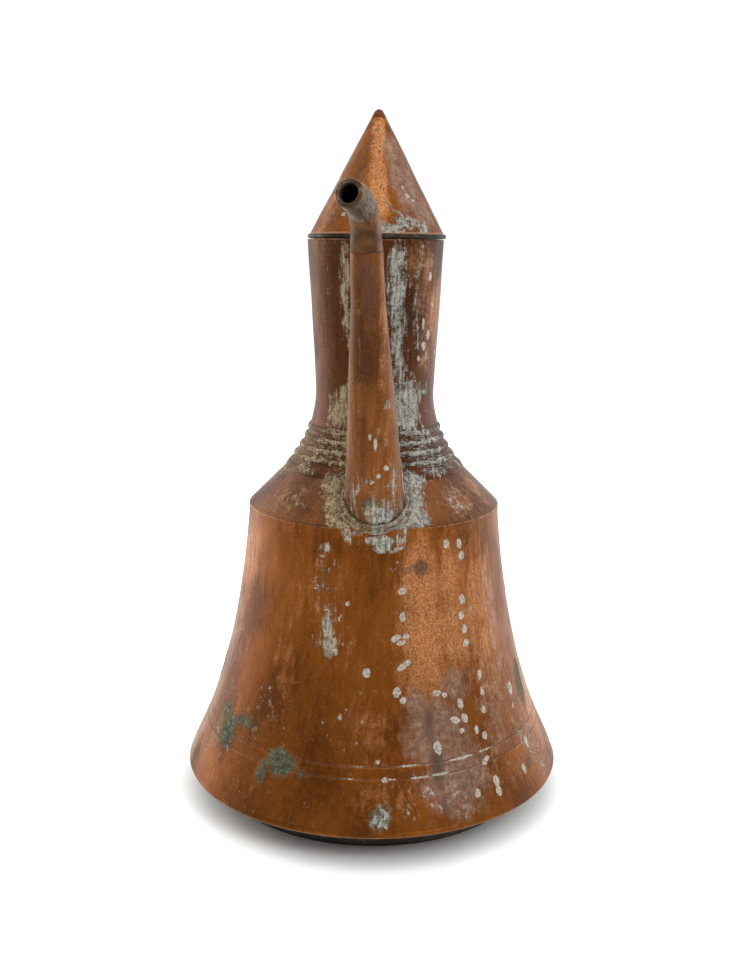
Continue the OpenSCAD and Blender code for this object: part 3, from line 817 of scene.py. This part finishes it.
def lip_profile():
    """Radius and distance past the bend, from the outside over the ring and back inside."""
    end = NOZZLE_END
    outer = [[NOZZLE_R, -0.8], [NOZZLE_R, 0.6], [NOZZLE_R - 0.5, 2.5]]
    outer += [[NOZZLE_TIP_R, end - 1.9], [NOZZLE_TIP_R - 0.2, end - 1.5]]
    ring = arc([LIP_RING_R, end], LIP_WIRE_R, np.arange(-50, 181, 16))
    throat = arc([NOZZLE_MOUTH_R + 0.25, end - 0.5], [0.55, 0.7], np.arange(110, 271, 20))
    inner = [[NOZZLE_MOUTH_R, end - 2.4], [NOZZLE_MOUTH_R + 0.9, 2], [NOZZLE_R - SPOUT_T, -0.8]]
    return np.concatenate([outer, ring, throat, inner])


def make_lip(material):
    path, ways = nozzle_path()
    profile = lip_profile()
    middle = path[-1] + profile[:, 1:] * ways[-1]
    points = tube_rings(middle, np.tile(ways[-1], (len(profile), 1)), profile[:, 0])
    points = pushed_from(points, middle[:, None, :], 0.12 * noise(points, 3.5, 62))
    inside = np.where(profile[:, 0] < NOZZLE_MOUTH_R + 0.3, 1.0, 0.0)
    inside[-3:] = 1.0
    ring = ramp(profile[:, 1], NOZZLE_END - 1.6, NOZZLE_END - 0.6) * (1 - inside)
    fields = {"inside": by_row(inside, points), "bare": by_row(0.4 * ring, points)}
    add_piece("nozzle_lip", points, fields, "vessel", "nozzle_tin", material, "spout_lip")


def body_normal(points):
    """Which way the body's surface faces at points on it."""
    z = points[..., 2]
    slope = (body_radius(z + 0.4) - body_radius(z - 0.4)) / 0.8
    level = np.hypot(points[..., 0], points[..., 1])
    normal = np.stack([points[..., 0] / level, points[..., 1] / level, -slope], axis=-1)
    return normal / np.linalg.norm(normal, axis=-1)[..., None]


def beside_spout(angles, offset, height):
    """Points round the spout's foot, offset millimetres from it along the body and height above it."""
    points = on_spout(meets_body(angles), angles)
    out = off_spout(angles)
    steps = max(1, math.ceil(abs(offset) / 0.4))
    for _ in range(steps):
        normal = body_normal(points)
        along = out - np.sum(out * normal, axis=-1)[:, None] * normal
        along /= np.linalg.norm(along, axis=-1)[:, None]
        points = points + along * offset / steps
        points = pushed_out(points, body_radius(points[:, 2]) - np.hypot(points[:, 0], points[:, 1]))
    return points + body_normal(points) * np.asarray(height)[..., None]


def make_ridge(name, offsets, heights, seed, material, slot, node):
    """A lumpy bead of metal round the spout's foot."""
    angles = np.radians(np.arange(0, 360, 1.5))
    front = 0.45 + 0.55 * (0.5 + 0.5 * np.cos(angles)) ** 0.6
    rings = [beside_spout(angles, o, h * front if h > 0 else h) for o, h in zip(offsets, heights)]
    points = np.array(rings)[:, ::-1]
    lift = dent(points) + 0.25 * noise(points, 3.0, seed) + 0.2 * noise(points, 8, seed + 1)
    points = pushed_out(points, lift)
    places = np.array(offsets)
    near = np.maximum(1 - ramp(places, -0.2, 0.5), ramp(places, places.max() - 0.6, places.max() - 0.1))
    fields = {"beige": 1.0 * (points[..., 0] < 0), "dark": by_row(near, points)}
    add_piece(name, points, fields, "vessel", slot, material, node)


def make_collar(material):
    offsets = [-0.9, -0.2, 0.3, 0.8, 1.4, 2.0, 2.6, 3.1, 3.2, -0.9]
    heights = [1.2, 1.8, 2.1, 2.2, 2.05, 1.7, 1.1, 0.3, -0.6, -0.6]
    make_ridge("spout_collar", offsets, heights, 71, material, "spout_collar", "spout_flange")


def make_spout_solder(material):
    offsets = [2.6, 2.9, 3.4, 3.9, 4.4, 5.0, 5.5, 5.6, 2.6]
    heights = [0.2, 0.7, 1.05, 0.7, 0.95, 0.65, 0.1, -0.5, -0.5]
    make_ridge("spout_solder_bead", offsets, heights, 74, material, "solder", "spout_solder")


# --- handle ---


def straight(start, lean, length, count):
    """Points on a line down from start, at a lean in degrees that is 0 when it hangs."""
    return start + np.linspace(0, length, count)[1:, None] * arc([0, 0], 1.0, lean - 90)


def strap_path():
    """Points down the strap's middle, as distance behind the body's axis and height."""
    top = np.array([GRIP_Y - TOP_BEND_R, HANDLE_H - TOP_BEND_R])
    first = np.linspace([body_radius(HANDLE_H) + 1, HANDLE_H], [top[0], HANDLE_H], 14)[:-1]
    bend = arc(top, TOP_BEND_R, np.linspace(90, -GRIP_LEAN, 22))
    grip = straight(bend[-1], -GRIP_LEAN, GRIP_LEN, 26)
    end = -GRIP_LEAN - LANDING_TURN
    low = grip[-1] - arc([0, 0], LOW_BEND_R, -GRIP_LEAN)
    turn = arc(low, LOW_BEND_R, np.linspace(-GRIP_LEAN, end, 14)[1:])
    points = np.concatenate([first, bend, grip, turn, straight(turn[-1], end, LANDING_LEN, 5)])
    reach = points[:, 0] - body_radius(points[:, 1])
    upper_half = np.arange(len(points)) < len(points) // 2
    return points[upper_half | (reach > 0.6)]


def rounded(size, wave, power):
    """One side of a strap's rounded section, from the cosine or sine of the angle round it."""
    return size / 2 * np.sign(wave) * np.abs(wave) ** power


def make_handle(material):
    path = strap_path()
    count = len(path)
    way = np.gradient(path, axis=0)
    way /= np.linalg.norm(way, axis=1)[:, None]
    turn = np.radians(np.arange(0, 360, 9))
    across = rounded(STRAP_W, np.cos(turn), 0.62)
    thick = rounded(STRAP_T, np.sin(turn), 0.8)
    arch = np.sin(np.pi * np.arange(count) / (count - 1))
    rings = []
    for p, w, a in zip(path, way, arch):
        rings.append(np.stack([across * (1 - 0.10 * a), p[0] - w[1] * thick, p[1] + w[0] * thick], axis=-1))
    points = np.array(rings)
    points[0] = landed(points[0], np.array([0, -1.0, 0]))
    points[-1] = landed(points[-1], np.array([0, way[-1][0], way[-1][1]]))
    ends = np.minimum(np.arange(count), np.arange(count)[::-1])[:, None]
    lift = 0.22 * noise(points, 11, 81) + 0.1 * noise(points, 4.5, 82) - 0.3
    middles = np.insert(path, 0, 0, axis=1)[:, None, :]
    points = pushed_from(points, middles, lift * np.clip(ends / 3, 0, 1))
    grip = by_row(np.clip(arch, 0, 1), points)
    fields = {
        "edge": 0.7 * ramp(np.abs(points[..., 0]), STRAP_W * 0.36, STRAP_W * 0.48),
        "bright_and_highlight": 0.75 * grip * ramp(noise(points, 16, 83), -0.4, 0.5),
        "dark": 0.6 * (1 - grip),
    }
    obj = shell("handle_strap", points, fields, along=False, caps=True)
    finish_piece(obj, "vessel", "handle_copper", material, "handle")


def landed(points, toward):
    """Points moved along a direction until they lie just off the body's true surface."""
    low = np.full(len(points), -LANDING_SEARCH)
    high = np.full(len(points), LANDING_SEARCH)
    reach = halved(low, high, lambda by: ~is_inside(points + by[:, None] * toward, STRAP_END_OFF))[0]
    return points + reach[:, None] * toward


def make_plate(name, node, r, h, seed, material):
    """A round plate that lies on the back of the body."""
    radii = [0.4, 3, 6, 9, r - 4, r - 2.2, r - 1.2, r - 0.5, r - 0.1, r - 0.1]
    rise = [2, 2, 2, 2, 2, 1.95, 1.8, 1.4, 0.8, -0.6]
    turn = np.radians(np.arange(0, 360, 5))
    rings = []
    for ring_r, t in zip(radii, rise):
        wave = ring_r * (1 - 0.02 * (1 + np.sin(3 * turn + seed)))
        x = wave * np.cos(turn)
        z = h + wave * np.sin(turn)
        y = np.sqrt(np.maximum((body_radius(z) + t) ** 2 - x**2, 1))
        rings.append(np.stack([x, y, z], axis=-1))
    points = np.array(rings)
    points = pushed_out(points, dent(points) + 0.12 * noise(points, 4, seed) - 0.1)
    edge = by_row([0, 0, 0, 0, 0, 0.2, 0.7, 1.0, 0.6, 0], points)
    obj = shell(name, points, {"edge": edge}, along=False, caps=True)
    obj.data.flip_normals()
    finish_piece(obj, "vessel", "handle_copper", material, node)


# --- lid ---


def lid_radius(h):
    """The lid cone's radius at a height above its edge."""
    return (LID_RISE - h) * (LID_R - LID_INSET) / LID_RISE


def leaned(points):
    """The lid sits a little to the right, and its point leans that way."""
    share = (points[..., 2] - LID_H) / LID_RISE
    return points + np.stack([0.7 + 0.8 * share, 0 * share, 0 * share], axis=-1)


def make_lid(material):
    top = LID_RISE - 7.0
    heights = np.concatenate([[0.9, 1.4], np.arange(2.0, top, 0.9), [top]])
    outer = np.stack([lid_radius(heights), heights], axis=1)
    inner_heights = np.linspace(top - 3, 0.9, 24)
    inner = np.stack([lid_radius(inner_heights) - LID_T, inner_heights], axis=1)
    rows = np.concatenate([outer, inner]) + [0, LID_H]
    outside = np.repeat([1.0, 0.0], [len(outer), len(inner)])
    points = lathe(rows, front_angles(1.0, 1.6, 90.0))
    fields = only_outside(lid_fields(points), outside)
    z = points[..., 2] - LID_H
    back = ramp(points[..., 1], 4, 18)
    wide = 0.34 * noise(points, 22, 91) + 0.12 * noise(points, 8, 92)
    lift = (wide * ramp(z, 1, 14) - 0.1) * (1 - 0.85 * back) * ramp(-z, -LID_RISE, -LID_RISE + 16)
    points = pushed_out(points, lift + 0.7 * crust_height(points, fields["crust"]))
    add_piece("lid_shell", leaned(points), fields, "lid", "lid_copper", material, "lid_cone")


def make_lid_edge(material):
    rows = arc([LID_R - LID_EDGE_R, LID_H], LID_EDGE_R, np.arange(0, 360, 20))
    points = lathe(rows, np.radians(np.arange(0, 360, 1.2)))
    points = leaned(pushed_out(points, 0.16 * noise(points, 9, 93) - 0.16))
    fields = {"edge": np.full(points.shape[:-1], 0.2)}
    add_piece("lid_edge_roll", points, fields, "lid", "lid_copper", material, "lid_rim")


def make_lid_point(material):
    """The small worn ball that closes the cone's point."""
    slope = math.atan((LID_R - LID_INSET) / LID_RISE)
    middle = LID_H + LID_RISE - TIP_R / math.sin(slope)
    top = LID_H + LID_RISE
    skirt = [[lid_radius(LID_RISE - below) + 0.06, top - below] for below in (9.0, 8.2, 7.4, 6.6)]
    ball = arc([0, middle - 0.05], TIP_R, np.linspace(math.degrees(slope), 90, 9))
    ball[-1, 0] = 0.05
    under = [[0.05, middle - 4], [lid_radius(LID_RISE - 9.0) - 0.8, top - 9.0]]
    points = lathe(np.concatenate([skirt, ball, under]), np.radians(np.arange(0, 360, 8)))
    points = pushed_out(points, 0.1 * noise(points, 3, 94) - 0.06)
    fields = {"dark": ramp(points[..., 2], top - 9, top - 5) * 0.6}
    add_piece("lid_point", leaned(points), fields, "lid", "nozzle_tin", material, "lid_tip")


def make_lid_collar(material):
    r = COLLAR_R
    top = LID_RISE - (r + LID_T) * LID_RISE / (LID_R - LID_INSET)
    inner_r = r - COLLAR_T
    low = -COLLAR_DEPTH
    rows = [[r, low + 0.4], [r, -6], [r, 0], [r, top - 0.2], [inner_r, top + 0.8]]
    rows += [[inner_r, 0], [inner_r, -6], [inner_r, low + 0.4], [r - 0.6, low]]
    points = lathe(np.array(rows) + [0, LID_H], np.radians(np.arange(0, 360, 2)))
    points = pushed_out(points, 0.12 * noise(points, 12, 95) - 0.12)
    add_piece("lid_collar_band", points, {}, "lid", "lid_inner_tin", material, "lid_collar")


# --- materials ---


def srgb(colour):
    """A shader colour from one of the usual 0 to 255 triples. Anything else is left as it is."""
    if not isinstance(colour, tuple) or len(colour) != 3:
        return colour
    linear = []
    for value in colour:
        v = value / 255
        linear.append(v / 12.92 if v <= 0.04045 else ((v + 0.055) / 1.055) ** 2.4)
    return (*linear, 1.0)


class Nodes:
    """Shader nodes of a tree, with short names for the ones used here."""

    def __init__(self, tree):
        self.tree = tree

    def feed(self, socket, value):
        if isinstance(value, bpy.types.NodeSocket):
            self.tree.links.new(value, socket)
        else:
            socket.default_value = value

    def node(self, kind, inputs, **settings):
        node = self.tree.nodes.new("ShaderNode" + kind)
        for key, value in settings.items():
            setattr(node, key, value)
        for key, value in inputs.items():
            self.feed(node.inputs[key], value)
        return node

    def math(self, operation, a, b):
        return self.node("Math", {0: a, 1: b}, operation=operation).outputs["Value"]

    def band(self, value, low, high, first=0.0, last=1.0):
        """first below low, last above high, and smooth in between."""
        inputs = {"Value": value, "From Min": low, "From Max": high, "To Min": first, "To Max": last}
        return self.node("MapRange", inputs, interpolation_type="SMOOTHSTEP").outputs["Result"]


class Graph(Nodes):
    """A material's nodes."""

    def __init__(self, name):
        self.material = bpy.data.materials.new(name)
        self.material.use_nodes = True
        super().__init__(self.material.node_tree)
        self.shader = next(n for n in self.tree.nodes if n.type == "BSDF_PRINCIPLED")
        self.place = self.node("TexCoord", {}).outputs["Object"]

    def noise(self, size, detail, rough, stretch, seed):
        """Noise about size millimetres across, drawn out along Z by stretch."""
        shift = (seed * 0.37, seed * 0.71, seed * 0.53)
        place = {"Scale": (1, 1, 1 / stretch), "Location": shift, "Vector": self.place}
        vector = self.node("Mapping", place).outputs["Vector"]
        inputs = {"Vector": vector, "Scale": 1 / (size * MM), "Detail": detail, "Roughness": rough}
        return self.node("TexNoise", inputs).outputs["Fac"]

    def field(self, name):
        return self.node("Attribute", {}, attribute_name=name).outputs["Fac"]

    def scaled(self, value, by, plus):
        return self.math("ADD", self.math("MULTIPLY", value, by), plus)

    def shaken(self, value, *noises):
        """A value with noises added to it, each with how far it goes from end to end."""
        for noise_out, swing in noises:
            value = self.math("ADD", value, self.scaled(noise_out, swing, -swing / 2))
        return value

    def total(self, *parts):
        """The sum of values, each given with its weight."""
        value = 0.0
        for part, weight in parts:
            value = self.math("ADD", value, self.math("MULTIPLY", part, weight))
        return value

    def mix(self, share, a, b):
        """Colour a where share is 0 and b where it is 1."""
        inputs = {"Factor": share, 6: srgb(a), 7: srgb(b)}
        return self.node("Mix", inputs, data_type="RGBA").outputs[2]

    def over(self, colour, tone, share, most):
        """A colour with a tone laid over it, which hides at most the given part of it."""
        return self.mix(self.math("MULTIPLY", share, most), colour, tone)

    def tones(self, value, ends, deep, mid, light):
        """Deep colour that turns mid between the first two ends, and light between the last two."""
        colour = self.mix(self.band(value, *ends[:2]), deep, mid)
        return self.mix(self.band(value, *ends[2:]), colour, light)

    def blend(self, share, a, b):
        """a where share is 0 and b where it is 1, for plain numbers."""
        return self.node("Mix", {"Factor": share, 2: a, 3: b}).outputs[0]

    def finish(self, colour, metallic, roughness, height, depth):
        """Sets the shader. Depth is the bump's full height in millimetres."""
        bump = self.node("Bump", {"Strength": 1.0, "Distance": depth * MM, "Height": height})
        self.feed(self.shader.inputs["Base Color"], colour)
        self.feed(self.shader.inputs["Metallic"], metallic)
        self.feed(self.shader.inputs["Roughness"], roughness)
        self.feed(self.shader.inputs["Normal"], bump.outputs["Normal"])
        return self.material


def tarnished(g, colour, streak, grain, lump, patch):
    """Copper with lighter patches that are partly painted highlights, mauve and dark patches, pits, and pale
    edges that are worn and, along the crease, a painted highlight. Says where it is dark and pitted.
    """
    # Lighter copper patches, partly painted highlights on lit facets and streaks.
    bright_and_highlight_on = g.band(g.shaken(g.field("bright_and_highlight"), (patch, 1.0), (streak, 0.8)), 0.15, 0.90)
    bright_and_highlight_tone = g.mix(g.band(grain, 0.38, 0.62), (156, 96, 54), (206, 146, 98))
    colour = g.over(colour, bright_and_highlight_tone, bright_and_highlight_on, 0.74)
    mauve_on = g.band(g.shaken(g.field("mauve"), (patch, 1.2), (streak, 0.5)), 0.25, 0.85)
    mauve_share = g.band(g.total((lump, 0.7), (grain, 0.3)), 0.34, 0.70)
    colour = g.over(colour, g.mix(mauve_share, (112, 78, 60), (166, 138, 120)), mauve_on, 0.80)
    dark_on = g.band(g.shaken(g.field("dark"), (lump, 1.0), (patch, 0.7)), 0.34, 0.85)
    colour = g.over(colour, (66, 44, 32), dark_on, 0.75)
    pitted = g.band(g.total((patch, 1.0), (bright_and_highlight_on, 0.25)), 0.45, 0.70)
    pits = g.math("MULTIPLY", g.band(g.noise(1.5, 3, 0.6, 1.2, 5), 0.60, 0.67), pitted)
    colour = g.over(colour, (56, 38, 28), pits, 0.7)
    # Pale edges: worn at the hem, the mouth and the lid, and a painted highlight along the crease.
    edge_on = g.band(g.shaken(g.field("edge"), (lump, 1.2)), 0.30, 0.90)
    return g.over(colour, (182, 136, 98), edge_on, 0.55), dark_on, pits


def with_verdigris(g, colour, grain, lump, patch):
    """Copper with verdigris, and where that is."""
    green_on = g.band(g.shaken(g.field("green"), (patch, 0.9), (lump, 0.9)), 0.30, 0.80)
    green_share = g.band(g.total((grain, 0.5), (lump, 0.5)), 0.40, 0.62)
    return g.over(colour, g.mix(green_share, (26, 31, 19), (80, 96, 70)), green_on, 0.88), green_on


def with_crust(g, colour, speckle, grain, lump, patch):
    """Copper with grey-white or beige crust, and where that is."""
    ridge = g.shaken(g.field("crest"), (g.noise(4, 5, 0.7, 0.12, 9), 1.4))
    ridge_on = g.math("MULTIPLY", g.band(ridge, 0.55, 1.05), 0.6)
    dust = g.band(g.noise(2.0, 4, 0.65, 1.4, 6), 0.64, 0.72)
    drip = g.noise(1.8, 5, 0.65, 8, 15)
    lines = g.scaled(g.noise(5, 5, 0.7, 0.10, 10), 2.4, -1.2)
    lines = g.math("MULTIPLY", lines, g.field("banded"))
    crust = g.math("ADD", g.field("crust"), speckle)
    crust = g.shaken(crust, (patch, 1.5), (lump, 0.9), (grain, 0.4))
    crust = g.shaken(g.math("ADD", crust, lines), (drip, 1.2))
    crust_on = g.math("MAXIMUM", g.band(crust, 0.30, 0.76), g.math("MULTIPLY", dust, 0.30))
    crust_on = g.math("MAXIMUM", crust_on, ridge_on)
    pale = g.mix(g.field("beige"), (192, 192, 182), (190, 172, 132))
    dull = g.mix(g.field("beige"), (62, 61, 52), (62, 47, 28))
    spread = g.total((grain, 0.6), (lump, 0.4), (drip, 0.6), (lines, 0.35))
    return g.over(colour, g.mix(g.band(spread, 0.58, 1.02), dull, pale), crust_on, 0.80), crust_on


def aged_copper(name, deep, mid, light, speckle=0.0):
    """Old tinned copper: warm metal with streaks, tarnish, verdigris and a rough crust with flecks."""
    g = Graph(name)
    cloud = g.noise(38, 4, 0.55, 1.8, 1)
    streak = g.noise(3.0, 4, 0.6, 11, 2)
    grain = g.noise(1.3, 5, 0.65, 1.0, 3)
    lump = g.noise(3.6, 6, 0.7, 1.0, 4)
    patch = g.noise(9, 6, 0.68, 1.2, 8)
    tone = g.math("ADD", g.scaled(cloud, 1.4, -0.33), g.scaled(streak, 0.65, -0.32))
    tone = g.shaken(tone, (grain, 0.6))
    colour = g.tones(tone, (0.10, 0.50, 0.45, 0.95), deep, mid, light)
    colour, dark_on, pits = tarnished(g, colour, streak, grain, lump, patch)
    colour, green_on = with_verdigris(g, colour, grain, lump, patch)
    colour, crust_on = with_crust(g, colour, speckle, grain, lump, patch)
    fleck_on = g.band(g.shaken(g.field("fleck"), (lump, 0.8), (grain, 0.7)), 0.40, 0.60)
    fleck_tone = g.mix(g.band(grain, 0.38, 0.60), (136, 126, 110), (186, 181, 170))
    colour = g.over(colour, fleck_tone, fleck_on, 0.86)

    crust_on = g.math("MAXIMUM", crust_on, fleck_on)
    rough_on = g.math("MAXIMUM", crust_on, g.math("MAXIMUM", green_on, g.math("MULTIPLY", dark_on, 0.5)))
    metallic = g.blend(rough_on, 0.9, 0.0)
    roughness = g.blend(rough_on, g.band(tone, 0.1, 0.9, 0.50, 0.36), 0.88)
    height = g.total((grain, 0.4), (g.noise(6, 3, 0.5, 1.0, 7), 0.7))
    height = g.math("ADD", height, g.math("MULTIPLY", crust_on, g.scaled(lump, 1.0, 0.4)))
    height = g.math("SUBTRACT", height, g.math("MULTIPLY", pits, 0.3))
    return g.finish(colour, metallic, roughness, height, 0.30)


def plain_copper(name, deep, mid, light, metal=0.85, edge=(170, 124, 86)):
    """The same old copper for small parts, with grime in place of crust."""
    g = Graph(name)
    cloud = g.noise(14, 4, 0.55, 1.0, 11)
    grain = g.noise(1.4, 5, 0.65, 1.0, 12)
    lump = g.noise(4, 5, 0.65, 1.0, 13)
    tone = g.shaken(g.scaled(cloud, 1.2, -0.15), (grain, 0.6))
    colour = g.tones(tone, (0.2, 0.55, 0.5, 0.9), deep, mid, light)
    bright_and_highlight_on = g.band(g.shaken(g.field("bright_and_highlight"), (lump, 1.0)), 0.25, 0.8)
    colour = g.over(colour, (186, 122, 78), bright_and_highlight_on, 0.7)
    dark_on = g.band(g.shaken(g.field("dark"), (lump, 1.2)), 0.3, 0.8)
    colour = g.over(colour, (70, 48, 36), dark_on, 0.7)
    edge_on = g.band(g.shaken(g.field("edge"), (lump, 1.0)), 0.3, 0.8)
    colour = g.over(colour, edge, edge_on, 0.6)
    spots = g.band(g.noise(3.0, 5, 0.7, 1.0, 14), 0.60, 0.66)
    colour = g.over(colour, (150, 142, 124), spots, 0.7)
    metallic = g.blend(g.math("MAXIMUM", spots, g.math("MULTIPLY", dark_on, 0.5)), metal, 0.0)
    roughness = g.blend(spots, g.band(tone, 0.1, 0.9, 0.55, 0.4), 0.88)
    return g.finish(colour, metallic, roughness, g.total((grain, 0.5), (lump, 0.8)), 0.28)


def old_tin(name, dull, mid, pale):
    """Greyed tin over copper that shows through where it has worn."""
    g = Graph(name)
    cloud = g.noise(9, 4, 0.6, 1.0, 21)
    grain = g.noise(1.1, 5, 0.7, 1.0, 22)
    tone = g.shaken(g.scaled(cloud, 1.2, -0.1), (grain, 0.8))
    colour = g.tones(tone, (0.2, 0.55, 0.5, 0.85), dull, mid, pale)
    wear = g.total((g.noise(5, 5, 0.65, 1.0, 23), 1.0), (g.field("bare"), 0.42))
    copper_tone = g.mix(g.band(cloud, 0.40, 0.60), (64, 39, 18), (98, 60, 27))
    colour = g.over(colour, copper_tone, g.band(wear, 0.52, 0.70), 0.95)
    # Painted shade: the nozzle's bore is coloured near black.
    colour = g.over(colour, (24, 18, 14), g.field("inside"), 0.92)
    roughness = g.band(tone, 0.1, 0.9, 0.6, 0.42)
    metallic = g.blend(g.field("inside"), 0.7, 0.1)
    return g.finish(colour, metallic, roughness, g.total((grain, 0.6), (cloud, 0.6)), 0.24)


def rough_solder(name):
    """Lumpy old solder and lime, beige to the left and grey-white to the right."""
    g = Graph(name)
    lump = g.noise(3.0, 6, 0.7, 1.0, 31)
    grain = g.noise(1.0, 5, 0.7, 1.0, 32)
    pale = g.mix(g.field("beige"), (160, 156, 144), (152, 132, 96))
    dull = g.mix(g.field("beige"), (78, 72, 62), (72, 56, 36))
    colour = g.mix(g.band(g.shaken(lump, (grain, 0.8)), 0.40, 0.62), dull, pale)
    bare = g.band(g.noise(5, 5, 0.65, 1.0, 33), 0.52, 0.60)
    colour = g.over(colour, (110, 70, 44), bare, 0.7)
    colour = g.over(colour, (34, 27, 20), g.field("dark"), 0.85)
    metallic = g.blend(bare, 0.1, 0.45)
    roughness = g.blend(bare, 0.82, 0.5)
    return g.finish(colour, metallic, roughness, g.total((lump, 1.0), (grain, 0.6)), 0.5)


def softened(node, material, width=0.25):
    """Gives a CAD part its finish and takes the sharpness off its edges."""
    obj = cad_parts[node]
    obj.data.materials.clear()
    obj.data.materials.append(material)
    weld = obj.modifiers.new("weld", "WELD")
    weld.merge_threshold = 0.00002
    bevel = obj.modifiers.new("soft_edges", "BEVEL")
    bevel.width = width * MM
    bevel.segments = 2
    bevel.limit_method = "ANGLE"
    bevel.angle_limit = math.radians(30)
    for polygon in obj.data.polygons:
        polygon.use_smooth = True


# --- studio ---


def make_floor():
    bpy.ops.mesh.primitive_plane_add(size=12, location=(0, 2.5, 0))
    floor = bpy.context.object
    floor.name = "floor"
    g = Graph("pale_floor")
    share = g.band(g.noise(60, 2, 0.5, 1.0, 41), 0.4, 0.6)
    tone = g.mix(share, (0.93, 0.93, 0.93, 1), (0.95, 0.95, 0.95, 1))
    g.finish(tone, 0.0, 0.9, g.noise(30, 2, 0.5, 1.0, 42), 0.01)
    floor.data.materials.append(g.material)


def make_sky():
    """Soft white light from overhead and from the white wall behind, with a dimmer room in front."""
    world = bpy.data.worlds.new("studio")
    world.use_nodes = True
    sky = Nodes(world.node_tree)
    background = next(n for n in sky.tree.nodes if n.type == "BACKGROUND")
    way = sky.node("SeparateXYZ", {0: sky.node("TexCoord", {}).outputs["Generated"]}).outputs
    behind = sky.band(way["Y"], -0.1, 0.45, 0.30, 1.06)
    overhead = sky.band(way["Z"], 0.35, 0.9, 0.0, 1.25)
    sky.feed(background.inputs["Strength"], sky.math("ADD", behind, overhead))
    sky.feed(background.inputs["Color"], (1, 1, 1, 1))
    bpy.context.scene.world = world


def make_studio():
    make_floor()
    make_sky()
    add_light("key", (0.9, -1.1, 1.2), 7.0, 0.7, (1.0, 0.98, 0.95))
    add_light("left", (-1.2, 0.6, 0.45), 6.0, 0.7, (1.0, 0.93, 0.80))
    add_light("right", (1.3, 0.55, 0.45), 5.0, 0.7, (0.80, 0.90, 1.0))


def add_light(name, place, power, size, colour):
    """A square soft light that faces the middle of the ewer."""
    data = bpy.data.lights.new(name, "AREA")
    data.energy = power
    data.size = size
    data.color = colour
    obj = bpy.data.objects.new(name, data)
    obj.location = place
    toward = Vector((0, 0, 0.2)) - Vector(place)
    obj.rotation_euler = toward.to_track_quat("-Z", "Y").to_euler()
    bpy.context.scene.collection.objects.link(obj)


def make_camera():
    data = bpy.data.cameras.new("camera")
    data.sensor_width = SENSOR_MM
    data.lens = LENS_MM
    camera = bpy.data.objects.new("camera", data)
    tilt = Matrix.Rotation(math.radians(CAMERA_TILT), 4, "X")
    roll = Matrix.Rotation(math.radians(CAMERA_ROLL), 4, "Z")
    camera.matrix_world = Matrix.Translation(CAMERA_PLACE) @ tilt @ roll
    bpy.context.scene.collection.objects.link(camera)
    bpy.context.scene.camera = camera


def main():
    make_camera()
    make_studio()
    bpy.context.scene.view_settings.view_transform = "Standard"
    copper = aged_copper("aged_copper", (90, 47, 11), (124, 69, 19), (154, 94, 40))
    upper = aged_copper("upper_copper", (74, 42, 20), (104, 62, 31), (142, 90, 52), speckle=0.03)
    neck = aged_copper("neck_copper", (58, 30, 12), (82, 44, 18), (108, 66, 34), speckle=0.05)
    spout = aged_copper("spout_copper", (78, 44, 18), (112, 66, 28), (150, 98, 56))
    # Dark copper for the foot, darkened further to paint in the shade under the skirt's rim.
    pan = plain_copper("pan_copper_painted_shade", (30, 15, 9), (48, 26, 16), (66, 38, 24), 0.95, (84, 52, 36))
    handle = plain_copper("handle_copper", (88, 50, 24), (126, 74, 34), (160, 104, 58))
    dark = plain_copper("hinge_copper", (72, 48, 34), (104, 72, 50), (140, 102, 72), 0.5)
    # The roll is coloured near black-brown, which paints in the shade along its underside below the lid's
    # edge.
    roll = plain_copper("lid_roll_painted_shade", (34, 25, 18), (52, 39, 29), (84, 68, 54), 0.9, (104, 90, 74))
    tin = old_tin("old_tin", (50, 40, 32), (98, 84, 68), (146, 132, 114))
    inner_tin = old_tin("inner_tin", (96, 86, 74), (138, 126, 110), (172, 164, 150))
    solder = rough_solder("solder")
    collar = rough_solder("collar_solder")

    make_skirt(copper)
    make_base_pan(pan)
    make_shoulder(upper)
    make_neck(neck)
    make_neck_solder(neck)
    make_spout(spout)
    make_nozzle(tin)
    make_lip(tin)
    make_collar(collar)
    make_spout_solder(solder)
    make_handle(handle)
    make_plate("upper_plate", "handle_upper_plate", UPPER_PLATE_R, HANDLE_H, 85, handle)
    make_plate("lower_plate", "handle_lower_plate", LOWER_PLATE_R, LOWER_PLATE_H, 86, handle)
    make_lid(copper)
    make_lid_edge(roll)
    make_lid_point(copper)
    make_lid_collar(inner_tin)
    softened("body_rivets", dark, 0.2)
    softened("lid_rivets", dark, 0.2)
    softened("hinge_bracket", dark, 0.35)
    softened("hinge_pin", tin, 0.3)
    softened("lid_strap", dark, 0.35)


main()
